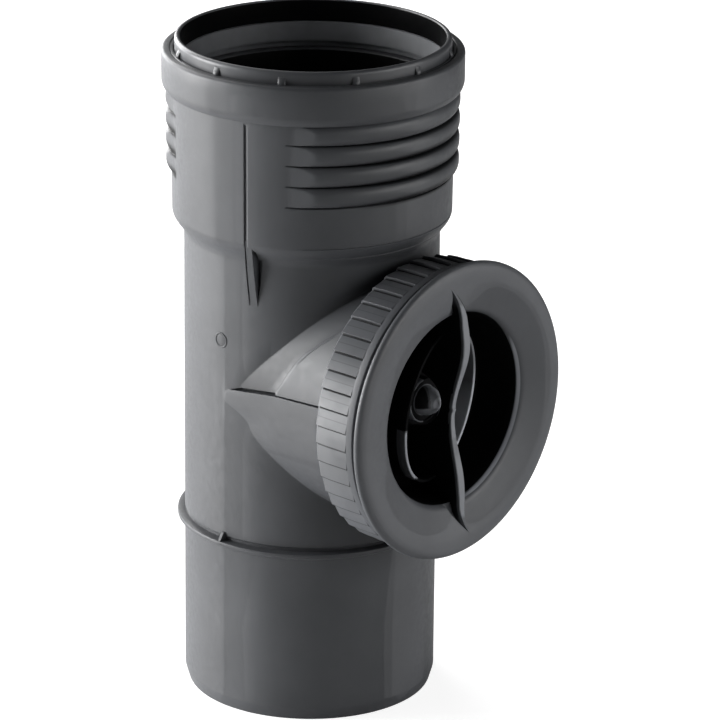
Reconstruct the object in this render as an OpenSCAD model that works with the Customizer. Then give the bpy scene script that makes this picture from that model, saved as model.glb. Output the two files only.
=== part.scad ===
// Cleanout access pipe: a straight push-fit drain pipe with a side branch closed by a screw cap.
// The pipe's axis is Z with the spigot's end at z = 0, and the branch points along +X.

/* [Pipe] */
// Outer diameter of the pipe that the fitting is made for
pipe_d = 90; // [80:1:110]
// Wall of the barrel and the spigot
pipe_wall = 3.1; // [2.4:0.1:4.5]
// Height from the spigot's end to the top of the insertion collar
spigot_l = 64.4; // [58:0.2:65.4]
// Height of the lead-in taper at the spigot's end
lead_in_h = 4.5; // [2:0.5:8]
// How far the lead-in taper goes in
lead_in_depth = 1.3; // [0.5:0.1:2]

/* [Insertion collar] */
// How far the collar stands out from the spigot
collar_out = 2.6; // [1.5:0.1:3.5]
// Thickness of the collar's rim
collar_t = 1.5; // [1:0.1:3]
// Depth of the groove above the collar
collar_groove = 0.3; // [0.1:0.1:0.6]

/* [Socket] */
// Height from the cap's edge up to the top of the widening
socket_rise = 5.9; // [5:0.1:12]
// Height of the widening
socket_flare_h = 8; // [6:0.5:12]
// Straight length of the bore that takes the next pipe, stop to chamber
socket_bore_l = 44.2; // [40:0.2:60]
// Radial clearance between the next pipe and the socket's bore
socket_clearance = 0.45; // [0.3:0.05:0.5]
// Wall of the socket round that bore
socket_wall = 3.7; // [3:0.1:5]

/* [Seal chamber] */
// Radial room for the seal outside the bore
chamber_room = 4.3; // [3.8:0.1:5]
// Wall of the seal chamber
chamber_wall = 3; // [2.5:0.1:4]
// Height of the chamber inside
chamber_h = 13.4; // [12:0.2:18]
// Radius of the chamber's rounded lower corner
chamber_corner_r = 5; // [4:0.5:6]
// Chamfer on the chamber's top edge
chamber_chamfer = 0.9; // [0.4:0.1:1.4]

/* [Grip ridges] */
// Number of ridges in each pad
ridge_count = 4; // [2:1:5]
// Height of one ridge
ridge_pitch = 7.3; // [6:0.1:7.5]
// How far a ridge stands out from the socket
ridge_out = 1.8; // [1:0.1:2.4]
// Half angle of each pad
ridge_half_angle = 57; // [50:1:62]
// Angle over which the ridges run out at each end of a pad
ridge_run_out = 12; // [8:1:16]

/* [Retaining ring] */
// How far the ring's rim stands above the shoulder
ring_rise = 4.4; // [3:0.1:7]
// Height of the ring's lower part inside the chamber
ring_depth = 3.6; // [2:0.1:5]
// How far the ring's bore is wider than the socket's bore
ring_bore_extra = 0.75; // [0.6:0.05:1.5]
// Wall of the rim
rim_wall = 2; // [1.5:0.1:2.4]
// Number of gussets round the rim
gusset_count = 12; // [6:1:18]
// Thickness of a gusset
gusset_t = 1.4; // [0.8:0.1:2.5]
// Height of a gusset
gusset_h = 2.8; // [1.5:0.1:3.2]
// Gap that seals and ring have to their seats
seat_gap = 0.15; // [0.1:0.05:0.25]

/* [Socket seal] */
// Gap between the pressed-back lip and the next pipe's surface
lip_gap = 0.3; // [0.25:0.05:0.4]
// Thickness of the lip at its edge
lip_edge_t = 0.8; // [0.5:0.1:1.2]
// Length of the lip
lip_l = 6.4; // [4:0.2:7]
// Wall of the seal's outer band
seal_band_t = 2.2; // [1.6:0.1:2.4]

/* [Webs under the socket] */
// Angle of each web from the branch
web_angle = 73.4; // [68:0.1:76]
// Thickness of a web
web_t = 3.2; // [2:0.1:5]
// Length of a web down the barrel
web_l = 24; // [16:1:28]
// Width of the parting line beside each web
seam_w = 0.7; // [0.4:0.1:1.2]
// Depth of that parting line
seam_depth = 0.5; // [0.2:0.1:0.8]

/* [Branch] */
// Room between the insertion collar and the cap's edge
cap_room = 0.9; // [0.6:0.1:6]
// How much smaller the branch's lower half is than the barrel, in radius
branch_step = 0.05; // [0.05:0.05:1]
// How much the branch's upper half lies below the lower half
upper_step = 0.5; // [0.2:0.1:0.8]
// How much more the band along the barrel lies below
band_step = 0.6; // [0.2:0.1:0.9]
// Width of that band
band_w = 17; // [10:1:20]
// Height of the parting ledge above the branch's axis
ledge_up = 6.6; // [0:0.2:10]
// How far the branch's mouth stands out from the barrel
mouth_reach = 19; // [19:0.5:25]
// How far the shoulder where the thread starts stands out from the barrel
shoulder_reach = 5; // [4:0.5:7]
// How much smaller the neck under its thread is than the branch, in radius
neck_step = 1.85; // [1.2:0.05:2.6]
// Wall of the neck under its thread
neck_wall = 3.3; // [2.5:0.1:4.5]

/* [Cap seal] */
// Thickness of the seal between the mouth and the cap
cap_seal_t = 1.7; // [1:0.1:2.5]
// Length of the seal's lip inside the neck
cap_lip_l = 7; // [4:0.5:10]
// Running gap round the cap seal
run_gap = 0.3; // [0.2:0.05:0.4]

/* [Screw cap] */
// Radial room for the two threads between neck and skirt
thread_room = 2.3; // [2:0.1:3]
// Wall of the skirt under its teeth
skirt_wall = 4.7; // [3.5:0.1:5.5]
// Gap between the barrel and the skirt's free edge
skirt_gap = 3; // [2.6:0.1:5]
// Number of teeth round the skirt
tooth_count = 48; // [36:1:60]
// Height of a tooth's step
tooth_h = 1.1; // [0.4:0.1:1.4]
// How far the flange stands out beyond the teeth
flange_out = 2.0; // [1:0.1:3]
// Thickness of the flange
flange_t = 4.3; // [3.5:0.1:5.5]
// Thickness of the flange's thin rim
rim_t = 2.4; // [1.6:0.1:3]
// Depth of the groove between skirt and flange
undercut = 1.6; // [0.3:0.1:1.8]
// Wall of the recessed cup
cup_wall = 2.6; // [2:0.1:3.5]
// Depth of the recess from the flange's face
recess_depth = 22; // [18:0.5:22.5]
// Thickness of the cup's floor
cup_floor_t = 2.6; // [2:0.1:3.2]
// Rounding of the recess's lip
recess_lip_r = 2.8; // [1.5:0.1:3.5]
// Crown of the flange's face
face_crown = 0.7; // [0.2:0.1:1.2]

/* [Grip] */
// How far the bar runs into the flange at each end
bar_run = 13.4; // [8:0.2:15]
// Distance of the bar's two high points from the recess's wall
hump_in = 7.6; // [4:0.2:12]
// How far the high points stand beyond the flange's face
hump_out = 1.5; // [0.5:0.1:3]
// How far the bar's middle lies below the flange's face
saddle_depth = 3.6; // [3:0.2:8]
// Width of the bar at its middle
bar_waist_w = 2.6; // [1.4:0.1:3]
// Width of the bar at its high points
bar_leaf_w = 4.2; // [3:0.1:6]
// Sideways sway of the bar's S
bar_sway = 1.5; // [0:0.1:2.5]
// Sideways hook at the bar's ends
bar_hook = 5.6; // [2:0.2:6]
// Height of the arch under the bar, from the recess's floor
arch_h = 13.2; // [11:0.2:13.6]
// Half width of that arch at the floor
arch_half_w = 10; // [8:0.5:14]
// Width of the finger notches at the recess's edge
notch_w = 3.4; // [2:0.1:5]
// Floor left under a notch
notch_floor_t = 0.9; // [0.6:0.1:1.6]

/* [Collar and nub in the recess] */
// Room between the oval collar's ends and the recess's wall
oval_room = 5.6; // [4:0.2:12]
// Half width of the oval collar
oval_half_w = 16.1; // [13:0.1:19]
// Tilt of the oval collar from the bar
oval_tilt = 26; // [0:1:40]
// Wall of the oval collar
oval_t = 1.3; // [1:0.1:2.5]
// Height of the oval collar above the recess's floor
oval_h = 12.4; // [8:0.2:14]
// Diameter of the nub's foot
nub_d = 9.5; // [8:0.5:13]
// Height of the nub
nub_h = 12.2; // [8:0.2:12.4]

/* [Hidden] */
$fn = 96;
eps = 0.01;
far = 200;
plastic_colour = [0.30, 0.30, 0.31];
ring_colour = [0.24, 0.24, 0.25];
cap_colour = [0.34, 0.34, 0.35];
rubber_colour = [0.08, 0.08, 0.08];

pipe_r = pipe_d / 2;
bore_r = pipe_r - pipe_wall;
lead_in_r = pipe_r - lead_in_depth;
collar_r = pipe_r + collar_out;

branch_r = pipe_r - branch_step;
upper_r = branch_r - upper_step;
band_r = upper_r - band_step;
neck_r = branch_r - neck_step;
neck_bore_r = neck_r - neck_wall;
neck_edge = 0.8;
mouth_x = pipe_r + mouth_reach;
thread_start_x = pipe_r + shoulder_reach;

cap_under_x = mouth_x + cap_seal_t + 2 * run_gap;
face_x = cap_under_x + flange_t;
cap_lip_t = 3;
cap_lip_outer_r = neck_bore_r - run_gap;
cap_lip_inner_r = cap_lip_outer_r - cap_lip_t;
cup_r = cap_lip_inner_r - run_gap;
recess_r = cup_r - cup_wall;
cup_draft = 0.4;
floor_x = face_x - recess_depth;
skirt_start_x = pipe_r + skirt_gap;
skirt_bore_r = neck_r + thread_room;
tooth_low_r = skirt_bore_r + skirt_wall;
tooth_high_r = tooth_low_r + tooth_h;
flange_r = tooth_high_r + flange_out;
rim_x = face_x - rim_t;
rim_edge_r = 1.1;
groove_w = 2.6;
tooth_end_x = rim_x - groove_w;
skirt_chamfer = 0.6;
bar_half_l = recess_r + bar_run;
hump_at = recess_r - hump_in;
oval_half_l = recess_r - oval_room;
bar_steps = 24;
bar_low_x = floor_x - eps;
notch_x = cap_under_x + notch_floor_t;

branch_z = spigot_l + cap_room + flange_r;
flare_top_z = branch_z + flange_r + socket_rise;
socket_base_z = flare_top_z - socket_flare_h;
socket_bore_r = pipe_r + socket_clearance;
socket_r = socket_bore_r + socket_wall;
socket_draft = 0.3;
chamber_bore_r = socket_bore_r + chamber_room;
chamber_r = chamber_bore_r + chamber_wall;
stop_slope_h = socket_bore_r - bore_r;
stop_z = flare_top_z - 0.6;
bore_top_z = stop_z + socket_bore_l;
bore_chamfer = 0.7;
chamber_floor_z = bore_top_z + bore_chamfer;
shoulder_z = chamber_floor_z + chamber_h;
corner_z = chamber_floor_z + 3;
corner_angle = acos(max(0, 1 - (chamber_r - socket_r - socket_draft) / chamber_corner_r));
ridge_top_z = corner_z - chamber_corner_r * sin(corner_angle) + 0.6;
ridge_steps = 6;

ring_bore_r = socket_bore_r + ring_bore_extra;
ring_foot_r = chamber_bore_r - seat_gap;
ring_foot_z = shoulder_z - ring_depth;
rim_r = ring_bore_r + rim_wall;
rim_top_z = shoulder_z + ring_rise;
rim_round = 0.9;

lip_r = pipe_r + lip_gap;
seal_top_z = ring_foot_z - seat_gap;
seal_foot_z = chamber_floor_z + seat_gap;
seal_r = chamber_bore_r - seat_gap;

// Points of an arc about (cx, cy), from angle a0 to a1 in n steps
function arc(cx, cy, r, a0, a1, n) =
    [for (i = [0:n]) let (a = a0 + (a1 - a0) * i / n) [cx + r * cos(a), cy + r * sin(a)]];

// Turns what is drawn along +Z onto the branch, so that its Z runs along +X from the pipe's axis
module on_branch() {
    translate([0, 0, branch_z]) rotate([90, 0, 90]) children();
}

// Outside of spigot, collar, barrel, socket and seal chamber, as one turned profile
module pipe_outside() {
    collar_under_z = spigot_l - collar_t;
    rotate_extrude()
        polygon(concat(
            [
                [0, 0],
                [lead_in_r, 0],
                [pipe_r, lead_in_h],
                [pipe_r, collar_under_z - collar_out / 2],
                [collar_r, collar_under_z],
                [collar_r, spigot_l],
                [pipe_r - collar_groove, spigot_l],
                [pipe_r - collar_groove, spigot_l + collar_t],
                [pipe_r, spigot_l + collar_t + collar_groove],
                [pipe_r, socket_base_z],
                [pipe_r + (socket_r - pipe_r) * 0.28, socket_base_z + socket_flare_h * 0.38],
                [pipe_r + (socket_r - pipe_r) * 0.42, socket_base_z + socket_flare_h * 0.41],
                [pipe_r + (socket_r - pipe_r) * 0.83, socket_base_z + socket_flare_h * 0.67],
                [socket_r, flare_top_z]
            ],
            arc(chamber_r - chamber_corner_r, corner_z, chamber_corner_r, -corner_angle, 0, 6),
            [
                [chamber_r, shoulder_z - chamber_chamfer],
                [chamber_r - chamber_chamfer, shoulder_z],
                [0, shoulder_z]
            ]
        ));
}

// Everything that is open inside the pipe: bore, stop, socket bore and seal chamber
module pipe_inside() {
    rotate_extrude()
        polygon([
            [0, -1],
            [bore_r, -1],
            [bore_r, stop_z - stop_slope_h],
            [socket_bore_r, stop_z],
            [socket_bore_r, bore_top_z],
            [socket_bore_r + bore_chamfer, chamber_floor_z],
            [chamber_bore_r, chamber_floor_z],
            [chamber_bore_r, shoulder_z + 1],
            [0, shoulder_z + 1]
        ]);
}

// Outline from above of one pad of ridges: a sector whose two ends are cut off by straight ramps
module pad_outline() {
    out_r = socket_r + socket_draft + ridge_out;
    polygon([
        [0, 0],
        socket_r * [cos(ridge_half_angle), -sin(ridge_half_angle)],
        out_r * [cos(ridge_half_angle - ridge_run_out), -sin(ridge_half_angle - ridge_run_out)],
        [2 * out_r, -out_r],
        [2 * out_r, out_r],
        out_r * [cos(ridge_half_angle - ridge_run_out), sin(ridge_half_angle - ridge_run_out)],
        socket_r * [cos(ridge_half_angle), sin(ridge_half_angle)]
    ]);
}

// Grip ridges below the chamber: rounded bands one above the other, on the branch's side and behind
module ridge_pad(turn) {
    ridge_low_z = ridge_top_z - ridge_count * ridge_pitch;
    rotate([0, 0, turn])
        intersection() {
            rotate_extrude()
                polygon(concat(
                    [[socket_bore_r, ridge_low_z]],
                    [for (k = [0:ridge_count - 1], i = [0:ridge_steps])
                        if (k == 0 || i > 0)
                            [socket_r + ridge_out * pow(sin(180 * i / ridge_steps), 0.7),
                             ridge_low_z + (k + i / ridge_steps) * ridge_pitch]],
                    [[socket_bore_r, ridge_top_z]]
                ));
            translate([0, 0, ridge_low_z - 1])
                linear_extrude(ridge_count * ridge_pitch + 2) pad_outline();
        }
}

// Web from the socket's flare down to the barrel
module web(turn) {
    rotate([0, 0, turn])
        translate([0, web_t / 2, 0])
            rotate([90, 0, 0])
                linear_extrude(web_t)
                    polygon([
                        [pipe_r - 1, flare_top_z - web_l],
                        [pipe_r, flare_top_z - web_l],
                        [socket_r - 0.5, flare_top_z - 0.5],
                        [pipe_r - 1, flare_top_z - 0.5]
                    ]);
}

// Parting line on the socket, beside a web
module seam(turn) {
    rotate([0, 0, turn])
        translate([socket_r - seam_depth, -seam_w / 2, flare_top_z - 3])
            cube([4, seam_w, ridge_top_z - flare_top_z + 2.4]);
}

// Small mark standing on the collar, in the mould's parting plane
module collar_mark(turn) {
    rotate([0, 0, turn])
        translate([0, 0.5, 0])
            rotate([90, 0, 0])
                linear_extrude(1)
                    polygon([
                        [pipe_r - 1, spigot_l - 0.3],
                        [collar_r - 0.2, spigot_l - 0.3],
                        [collar_r - 0.2, spigot_l + 0.3],
                        [pipe_r - 0.5, spigot_l + 3]
                    ]);
}

// Solid bar of the branch with radius r out to x, lying above the height up over the branch's axis
module branch_bar(r, x) {
    on_branch() cylinder(r = r, h = x);
}

// Outside of the branch: a full lower half, and an upper half that is set back along the barrel
module branch_outside() {
    intersection() {
        branch_bar(branch_r, thread_start_x);
        translate([-1, -far / 2, branch_z + ledge_up - far]) cube([far, far, far]);
    }
    branch_bar(band_r, thread_start_x);
    intersection() {
        branch_bar(upper_r, thread_start_x);
        translate([0, far / 2, branch_z])
            rotate([90, 0, 0])
                linear_extrude(far)
                    polygon([
                        [band_w + ledge_up, ledge_up - 1],
                        [band_w + ledge_up, ledge_up],
                        [band_w + pipe_r, pipe_r],
                        [far, pipe_r],
                        [far, ledge_up - 1]
                    ]);
    }
    on_branch()
        rotate_extrude()
            polygon([
                [0, 0],
                [neck_r, 0],
                [neck_r, mouth_x - neck_edge],
                [neck_r - neck_edge, mouth_x],
                [0, mouth_x]
            ]);
}

module pipe_body() {
    color(plastic_colour)
        difference() {
            union() {
                pipe_outside();
                ridge_pad(0);
                ridge_pad(180);
                web(web_angle);
                web(-web_angle);
                collar_mark(90);
                collar_mark(-90);
                branch_outside();
            }
            pipe_inside();
            on_branch() cylinder(r = neck_bore_r, h = mouth_x + 1);
            seam(web_angle + 1.8);
            seam(-web_angle - 1.8);
        }
}

// Rubber ring in the chamber, its lip drawn as the next pipe presses it back
module socket_seal() {
    lip_top_z = seal_top_z - lip_l;
    color(rubber_colour)
        rotate_extrude()
            polygon([
                [ring_bore_r + 0.1, seal_top_z],
                [lip_r, lip_top_z],
                [lip_r, lip_top_z - lip_edge_t],
                [lip_r + lip_edge_t, lip_top_z - lip_edge_t - 0.2],
                [seal_r - seal_band_t, seal_top_z - lip_l / 2],
                [seal_r - seal_band_t, seal_foot_z],
                [seal_r, seal_foot_z],
                [seal_r, seal_top_z]
            ]);
}

// Snap ring that closes the chamber, with a rim above the shoulder and a row of gussets
module retaining_ring() {
    color(ring_colour) {
        rotate_extrude()
            polygon([
                [ring_bore_r, ring_foot_z],
                [ring_foot_r, ring_foot_z],
                [ring_foot_r, shoulder_z - 0.2],
                [rim_r, shoulder_z - 0.2],
                [rim_r, rim_top_z - rim_round],
                [rim_r - rim_round * 0.3, rim_top_z - rim_round * 0.3],
                [rim_r - rim_round, rim_top_z],
                [ring_bore_r + rim_round * 0.7, rim_top_z],
                [ring_bore_r + rim_round * 0.2, rim_top_z - rim_round * 0.25],
                [ring_bore_r, rim_top_z - rim_round * 0.8]
            ]);
        for (i = [0:gusset_count - 1])
            rotate([0, 0, 360 * i / gusset_count])
                translate([0, gusset_t / 2, 0])
                    rotate([90, 0, 0])
                        linear_extrude(gusset_t)
                            polygon([
                                [rim_r - 0.5, shoulder_z - 0.4],
                                [ring_foot_r - 0.1, shoulder_z - 0.4],
                                [ring_foot_r - 0.1, shoulder_z],
                                [rim_r + 0.35, shoulder_z + gusset_h],
                                [rim_r - 0.5, shoulder_z + gusset_h]
                            ]);
    }
}

// Flat seal on the mouth's edge with a lip that reaches into the neck
module cap_seal() {
    color(rubber_colour)
        on_branch()
            rotate_extrude()
                polygon([
                    [cap_lip_inner_r, mouth_x + run_gap + cap_seal_t],
                    [cap_lip_inner_r, mouth_x - cap_lip_l],
                    [cap_lip_outer_r - 1, mouth_x - cap_lip_l],
                    [cap_lip_outer_r, mouth_x - cap_lip_l + 2],
                    [cap_lip_outer_r, mouth_x + run_gap],
                    [neck_r - 0.2, mouth_x + run_gap],
                    [neck_r - 0.2, mouth_x + run_gap + cap_seal_t]
                ]);
}

// Sideways place of the bar's middle line at the distance t along it
function bar_mid(t) =
    bar_sway * sin(180 * t / (hump_at + 6)) * (abs(t) < hump_at + 6 ? 1 : 0)
    - sign(t) * bar_hook * pow(max(0, abs(t) - hump_at - 6) / (bar_half_l - hump_at - 6), 2);

// Half width of the bar at t: narrow at the middle, widest at the high points, thin at the ends
function bar_half_w(t) =
    abs(t) < hump_at
        ? (bar_waist_w + (bar_leaf_w - bar_waist_w) * pow(sin(90 * t / hump_at), 2)) / 2
        : (0.8 + (bar_leaf_w - 0.8) * pow(cos(90 * (abs(t) - hump_at) / (bar_half_l - hump_at)), 2)) / 2;

// Height of the bar's crest from the pipe's axis at t
function bar_crest(t) =
    abs(t) < hump_at
        ? face_x - saddle_depth + (saddle_depth + hump_out) * pow(sin(90 * t / hump_at), 2)
        : face_x + hump_out * pow(cos(90 * (abs(t) - hump_at) / (bar_half_l - hump_at)), 2) - 0.2;

// The bar along the S as seen from the front
module bar_outline() {
    ts = [for (i = [0:bar_steps]) bar_half_l * (2 * i / bar_steps - 1)];
    polygon(concat(
        [for (t = ts) [bar_mid(t) + bar_half_w(t), t]],
        [for (i = [bar_steps:-1:0]) [bar_mid(ts[i]) - bar_half_w(ts[i]), ts[i]]]
    ));
}

// The bar as seen from the side: two high points, a low middle, and the arch over the nub
module bar_side() {
    ts = [for (i = [0:bar_steps]) bar_half_l * (2 * i / bar_steps - 1)];
    difference() {
        polygon(concat(
            [for (t = ts) [bar_crest(t), t]],
            [[cap_under_x + 1, bar_half_l], [cap_under_x + 1, recess_r + 1], [bar_low_x, recess_r - 1]],
            [[bar_low_x, 1 - recess_r], [cap_under_x + 1, -recess_r - 1], [cap_under_x + 1, -bar_half_l]]
        ));
        polygon([for (i = [0:12])
            [floor_x - 1 + (arch_h + 1) * sin(15 * i), arch_half_w * cos(15 * i)]]);
    }
}

// The S-shaped grip bar, as the common part of its front and side outlines
module grip_bar() {
    intersection() {
        on_branch() linear_extrude(face_x + hump_out + 1) bar_outline();
        translate([0, recess_r, branch_z])
            rotate([90, 0, 0]) linear_extrude(2 * recess_r) bar_side();
    }
}

// Wedge cut beside the bar for a finger tip, at one end and on one side of it
module notch(end, side) {
    t0 = recess_r - 3;
    t1 = bar_half_l - 1.5;
    ts = [for (i = [0:6]) t0 + (t1 - t0) * i / 6];
    on_branch()
        translate([0, 0, notch_x])
            linear_extrude(flange_t + 2)
                polygon(concat(
                    [for (t = ts) [bar_mid(end * t) + side * bar_half_w(t) * 0.8, end * t]],
                    [[bar_mid(end * t0) + side * (bar_half_w(t0) + notch_w + 0.6), end * t0]]
                ));
}

// Front outline of the teeth round the skirt: each rises slowly and drops in one step
module tooth_outline() {
    step = 360 / tooth_count;
    polygon([for (i = [0:tooth_count - 1], p = [0, 1])
        let (a = step * (i + p * 0.96), r = p == 0 ? tooth_low_r : tooth_high_r)
            r * [cos(a), sin(a)]]);
}

// Skirt, groove, flange with its crowned face, and the cup behind it, before the grip is added
module cap_shell() {
    mid_r = (flange_r + recess_r) / 2;
    wall_r = tooth_low_r - undercut;
    on_branch()
        rotate_extrude()
            polygon(concat(
                [
                    [0, floor_x - cup_floor_t],
                    [cup_r - cup_draft, floor_x - cup_floor_t],
                    [cup_r, cap_under_x],
                    [skirt_bore_r, cap_under_x],
                    [skirt_bore_r, skirt_start_x + skirt_chamfer],
                    [skirt_bore_r + skirt_chamfer, skirt_start_x],
                    [wall_r, skirt_start_x],
                    [wall_r, rim_x],
                    [flange_r - 0.4, rim_x],
                    [flange_r, rim_x + 0.4]
                ],
                arc(flange_r - rim_edge_r, face_x - rim_edge_r, rim_edge_r, 0, 70, 4),
                [
                    [mid_r + 4, face_x + face_crown * 0.6],
                    [mid_r, face_x + face_crown * 0.7],
                    [recess_r + recess_lip_r + 2, face_x + face_crown * 0.3]
                ],
                arc(recess_r + recess_lip_r, face_x - recess_lip_r, recess_lip_r, 95, 180, 5),
                [[recess_r - cup_draft, floor_x], [0, floor_x]]
            ));
    on_branch()
        translate([0, 0, skirt_start_x])
            difference() {
                linear_extrude(tooth_end_x - skirt_start_x) tooth_outline();
                translate([0, 0, -1]) cylinder(r = skirt_bore_r + 2, h = far);
            }
}

// Thin oval wall round the nub
module oval_collar() {
    on_branch()
        translate([0, 0, bar_low_x])
            rotate([0, 0, -oval_tilt])
                linear_extrude(oval_h + eps)
                    difference() {
                        polygon([for (i = [0:35])
                            [oval_half_w * cos(10 * i), oval_half_l * sin(10 * i)]]);
                        polygon([for (i = [0:35])
                            [(oval_half_w - oval_t) * cos(10 * i), (oval_half_l - oval_t) * sin(10 * i)]]);
                    }
}

// Rounded cone on the recess's floor, with a low ring round its foot
module nub() {
    nub_r = nub_d / 2;
    on_branch()
        translate([0, 0, bar_low_x])
            rotate_extrude()
                polygon(concat(
                    [[0, 0], [nub_r + 2, 0], [nub_r + 2, 1], [nub_r + 1, 1], [nub_r + 1, 0.6], [nub_r, 0.6]],
                    [for (i = [0:5])
                        [nub_r * (0.82 - 0.72 * pow(i / 5, 2.2)), nub_h * (0.62 + 0.38 * sin(90 * i / 5))]],
                    [[0, nub_h]]
                ));
}

module screw_cap() {
    color(cap_colour)
        union() {
            difference() {
                cap_shell();
                for (end = [-1, 1], side = [-1, 1]) notch(end, side);
            }
            grip_bar();
            oval_collar();
            nub();
        }
}

pipe_body();
socket_seal();
retaining_ring();
cap_seal();
screw_cap();
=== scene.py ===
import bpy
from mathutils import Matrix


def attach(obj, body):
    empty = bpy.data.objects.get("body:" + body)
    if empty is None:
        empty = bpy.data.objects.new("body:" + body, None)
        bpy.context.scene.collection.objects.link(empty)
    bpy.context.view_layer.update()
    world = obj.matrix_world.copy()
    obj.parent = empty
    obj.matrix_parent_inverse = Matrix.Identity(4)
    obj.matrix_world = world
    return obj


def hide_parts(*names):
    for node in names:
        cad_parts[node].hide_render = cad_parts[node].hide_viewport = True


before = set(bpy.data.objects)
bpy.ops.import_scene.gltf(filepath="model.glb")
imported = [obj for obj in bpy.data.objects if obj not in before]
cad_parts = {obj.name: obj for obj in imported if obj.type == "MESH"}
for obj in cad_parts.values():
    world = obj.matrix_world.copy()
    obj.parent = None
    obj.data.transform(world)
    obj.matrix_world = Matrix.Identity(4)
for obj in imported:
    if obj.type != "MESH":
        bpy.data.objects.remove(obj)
"""Looks of a straight drain access pipe: body, snap ring, seals and screw cap, on a pale floor.

Sizes are in millimetres until a mesh is made. Z runs up the pipe, and the branch points along +X.
An angle round the pipe is counted from the branch, an angle round the branch from +Y towards +Z.
"""

import logging
import math
from dataclasses import dataclass, field
from enum import Enum

import bmesh
import bpy
import numpy as np
from mathutils import Matrix, Vector

MM = 0.001
LOG = logging.getLogger("access_pipe")
TONE = "tone"  # vertex attribute of painted light: 1 paints shade, -1 keeps a well's wall clear of its painted shade, below that a painted highlight fades in
PAINTED_LIGHT_GAIN = 4.2  # how many times the plain colour a full painted highlight is
THREAD_LEAD = 6.0
THREAD_RUN = 1.4  # length over which a thread rises at each end
Grid = np.ndarray
Colour = tuple[float, float, float]
Line = tuple[tuple[float, ...], ...]
Socket, Finish, Piece = bpy.types.NodeSocket, bpy.types.Material, bpy.types.Object


class Side(Enum):
    """The side of the branch that a detail lies on, as the sign of Y."""

    LEFT = -1
    RIGHT = 1


class Axis(Enum):
    """The axis that a well is sunk along, as the name of its coordinate."""

    BRANCH = "X"
    PIPE = "Z"


# ---- finishes -------------------------------------------------------------------------------


@dataclass(frozen=True)
class PaintedShadeWell:
    """A well with painted shade on its walls: a band of radii round an axis, from start to reach.

    The branch's axis lies at the height centre_z. The walls keep a share of the plain colour, as painted
    shade.
    """

    axis: Axis
    outer_r: float
    reach: float
    start: float
    inner_r: float = -1.0
    centre_z: float = 0.0
    share: float = 0.05


class Bench:
    """A material's node tree, to which nodes are added with their settings and inputs."""

    def __init__(self, tree: bpy.types.NodeTree) -> None:
        """Takes up a node tree.

        Args:
            tree: the tree to work on.
        """
        self.tree = tree

    def feed(self, node: bpy.types.Node, inputs: dict) -> None:
        """Links the inputs that are given a socket, and sets those that are given a value.

        Args:
            node: the node.
            inputs: a socket or a value by input.
        """
        for key, value in inputs.items():
            if isinstance(value, Socket):
                self.tree.links.new(value, node.inputs[key])
            else:
                node.inputs[key].default_value = value

    def add(self, kind: str, inputs: dict | None = None, **settings: object) -> bpy.types.NodeOutputs:
        """Adds one node.

        Args:
            kind: the node's type, without its prefix.
            inputs: a socket or a value for each input that is not left as it is.
            settings: the node's own settings, made before its inputs.

        Returns:
            The node's outputs.
        """
        node = self.tree.nodes.new("ShaderNode" + kind)
        for key, value in settings.items():
            setattr(node, key, value)
        self.feed(node, inputs or {})
        return node.outputs

    def ramp(self, share: Socket, *stops: tuple[float, tuple]) -> Socket:
        """Adds a colour ramp between two stops, each a place and a colour.

        Args:
            share: the value that picks the colour.
            stops: the two stops.

        Returns:
            The colour.
        """
        node = self.tree.nodes.new("ShaderNodeValToRGB")
        for element, (place, colour) in zip(node.color_ramp.elements, stops):
            element.position, element.color = place, colour
        self.feed(node, {"Fac": share})
        return node.outputs["Color"]

    def remap(self, value: Socket, low: float, high: float, start: float = 0.0, stop: float = 1.0) -> Socket:
        """Maps a value from start and stop to low and high, and holds it there beyond."""
        return self.add("MapRange", {"Value": value, "From Min": start, "From Max": stop,
                                     "To Min": low, "To Max": high})["Result"]

    def math(self, kind: str, first: Socket, second: Socket | float) -> Socket:
        """Adds one sum of two values."""
        return self.add("Math", {0: first, 1: second}, operation=kind)["Value"]

    def step(self, value: Socket, edge: float, rising: bool, soft: float = 0.12) -> Socket:
        """Steps between 0 and 1 at an edge in millimetres, over a soft width."""
        low, high = (0.0, 1.0) if rising else (1.0, 0.0)
        return self.remap(value, low, high, (edge - soft) * MM, (edge + soft) * MM)


def new_material(name: str) -> tuple[Finish, Bench, bpy.types.Node]:
    """Starts a node material.

    Args:
        name: the material's name.

    Returns:
        The material, its bench and its shader.
    """
    mat = bpy.data.materials.new(name)
    mat.use_nodes = True
    return mat, Bench(mat.node_tree), mat.node_tree.nodes["Principled BSDF"]


def tinted(colour: Colour, gain: float) -> tuple[float, ...]:
    """A colour times a gain, with full alpha."""
    return tuple(c * gain for c in colour) + (1.0,)


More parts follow.
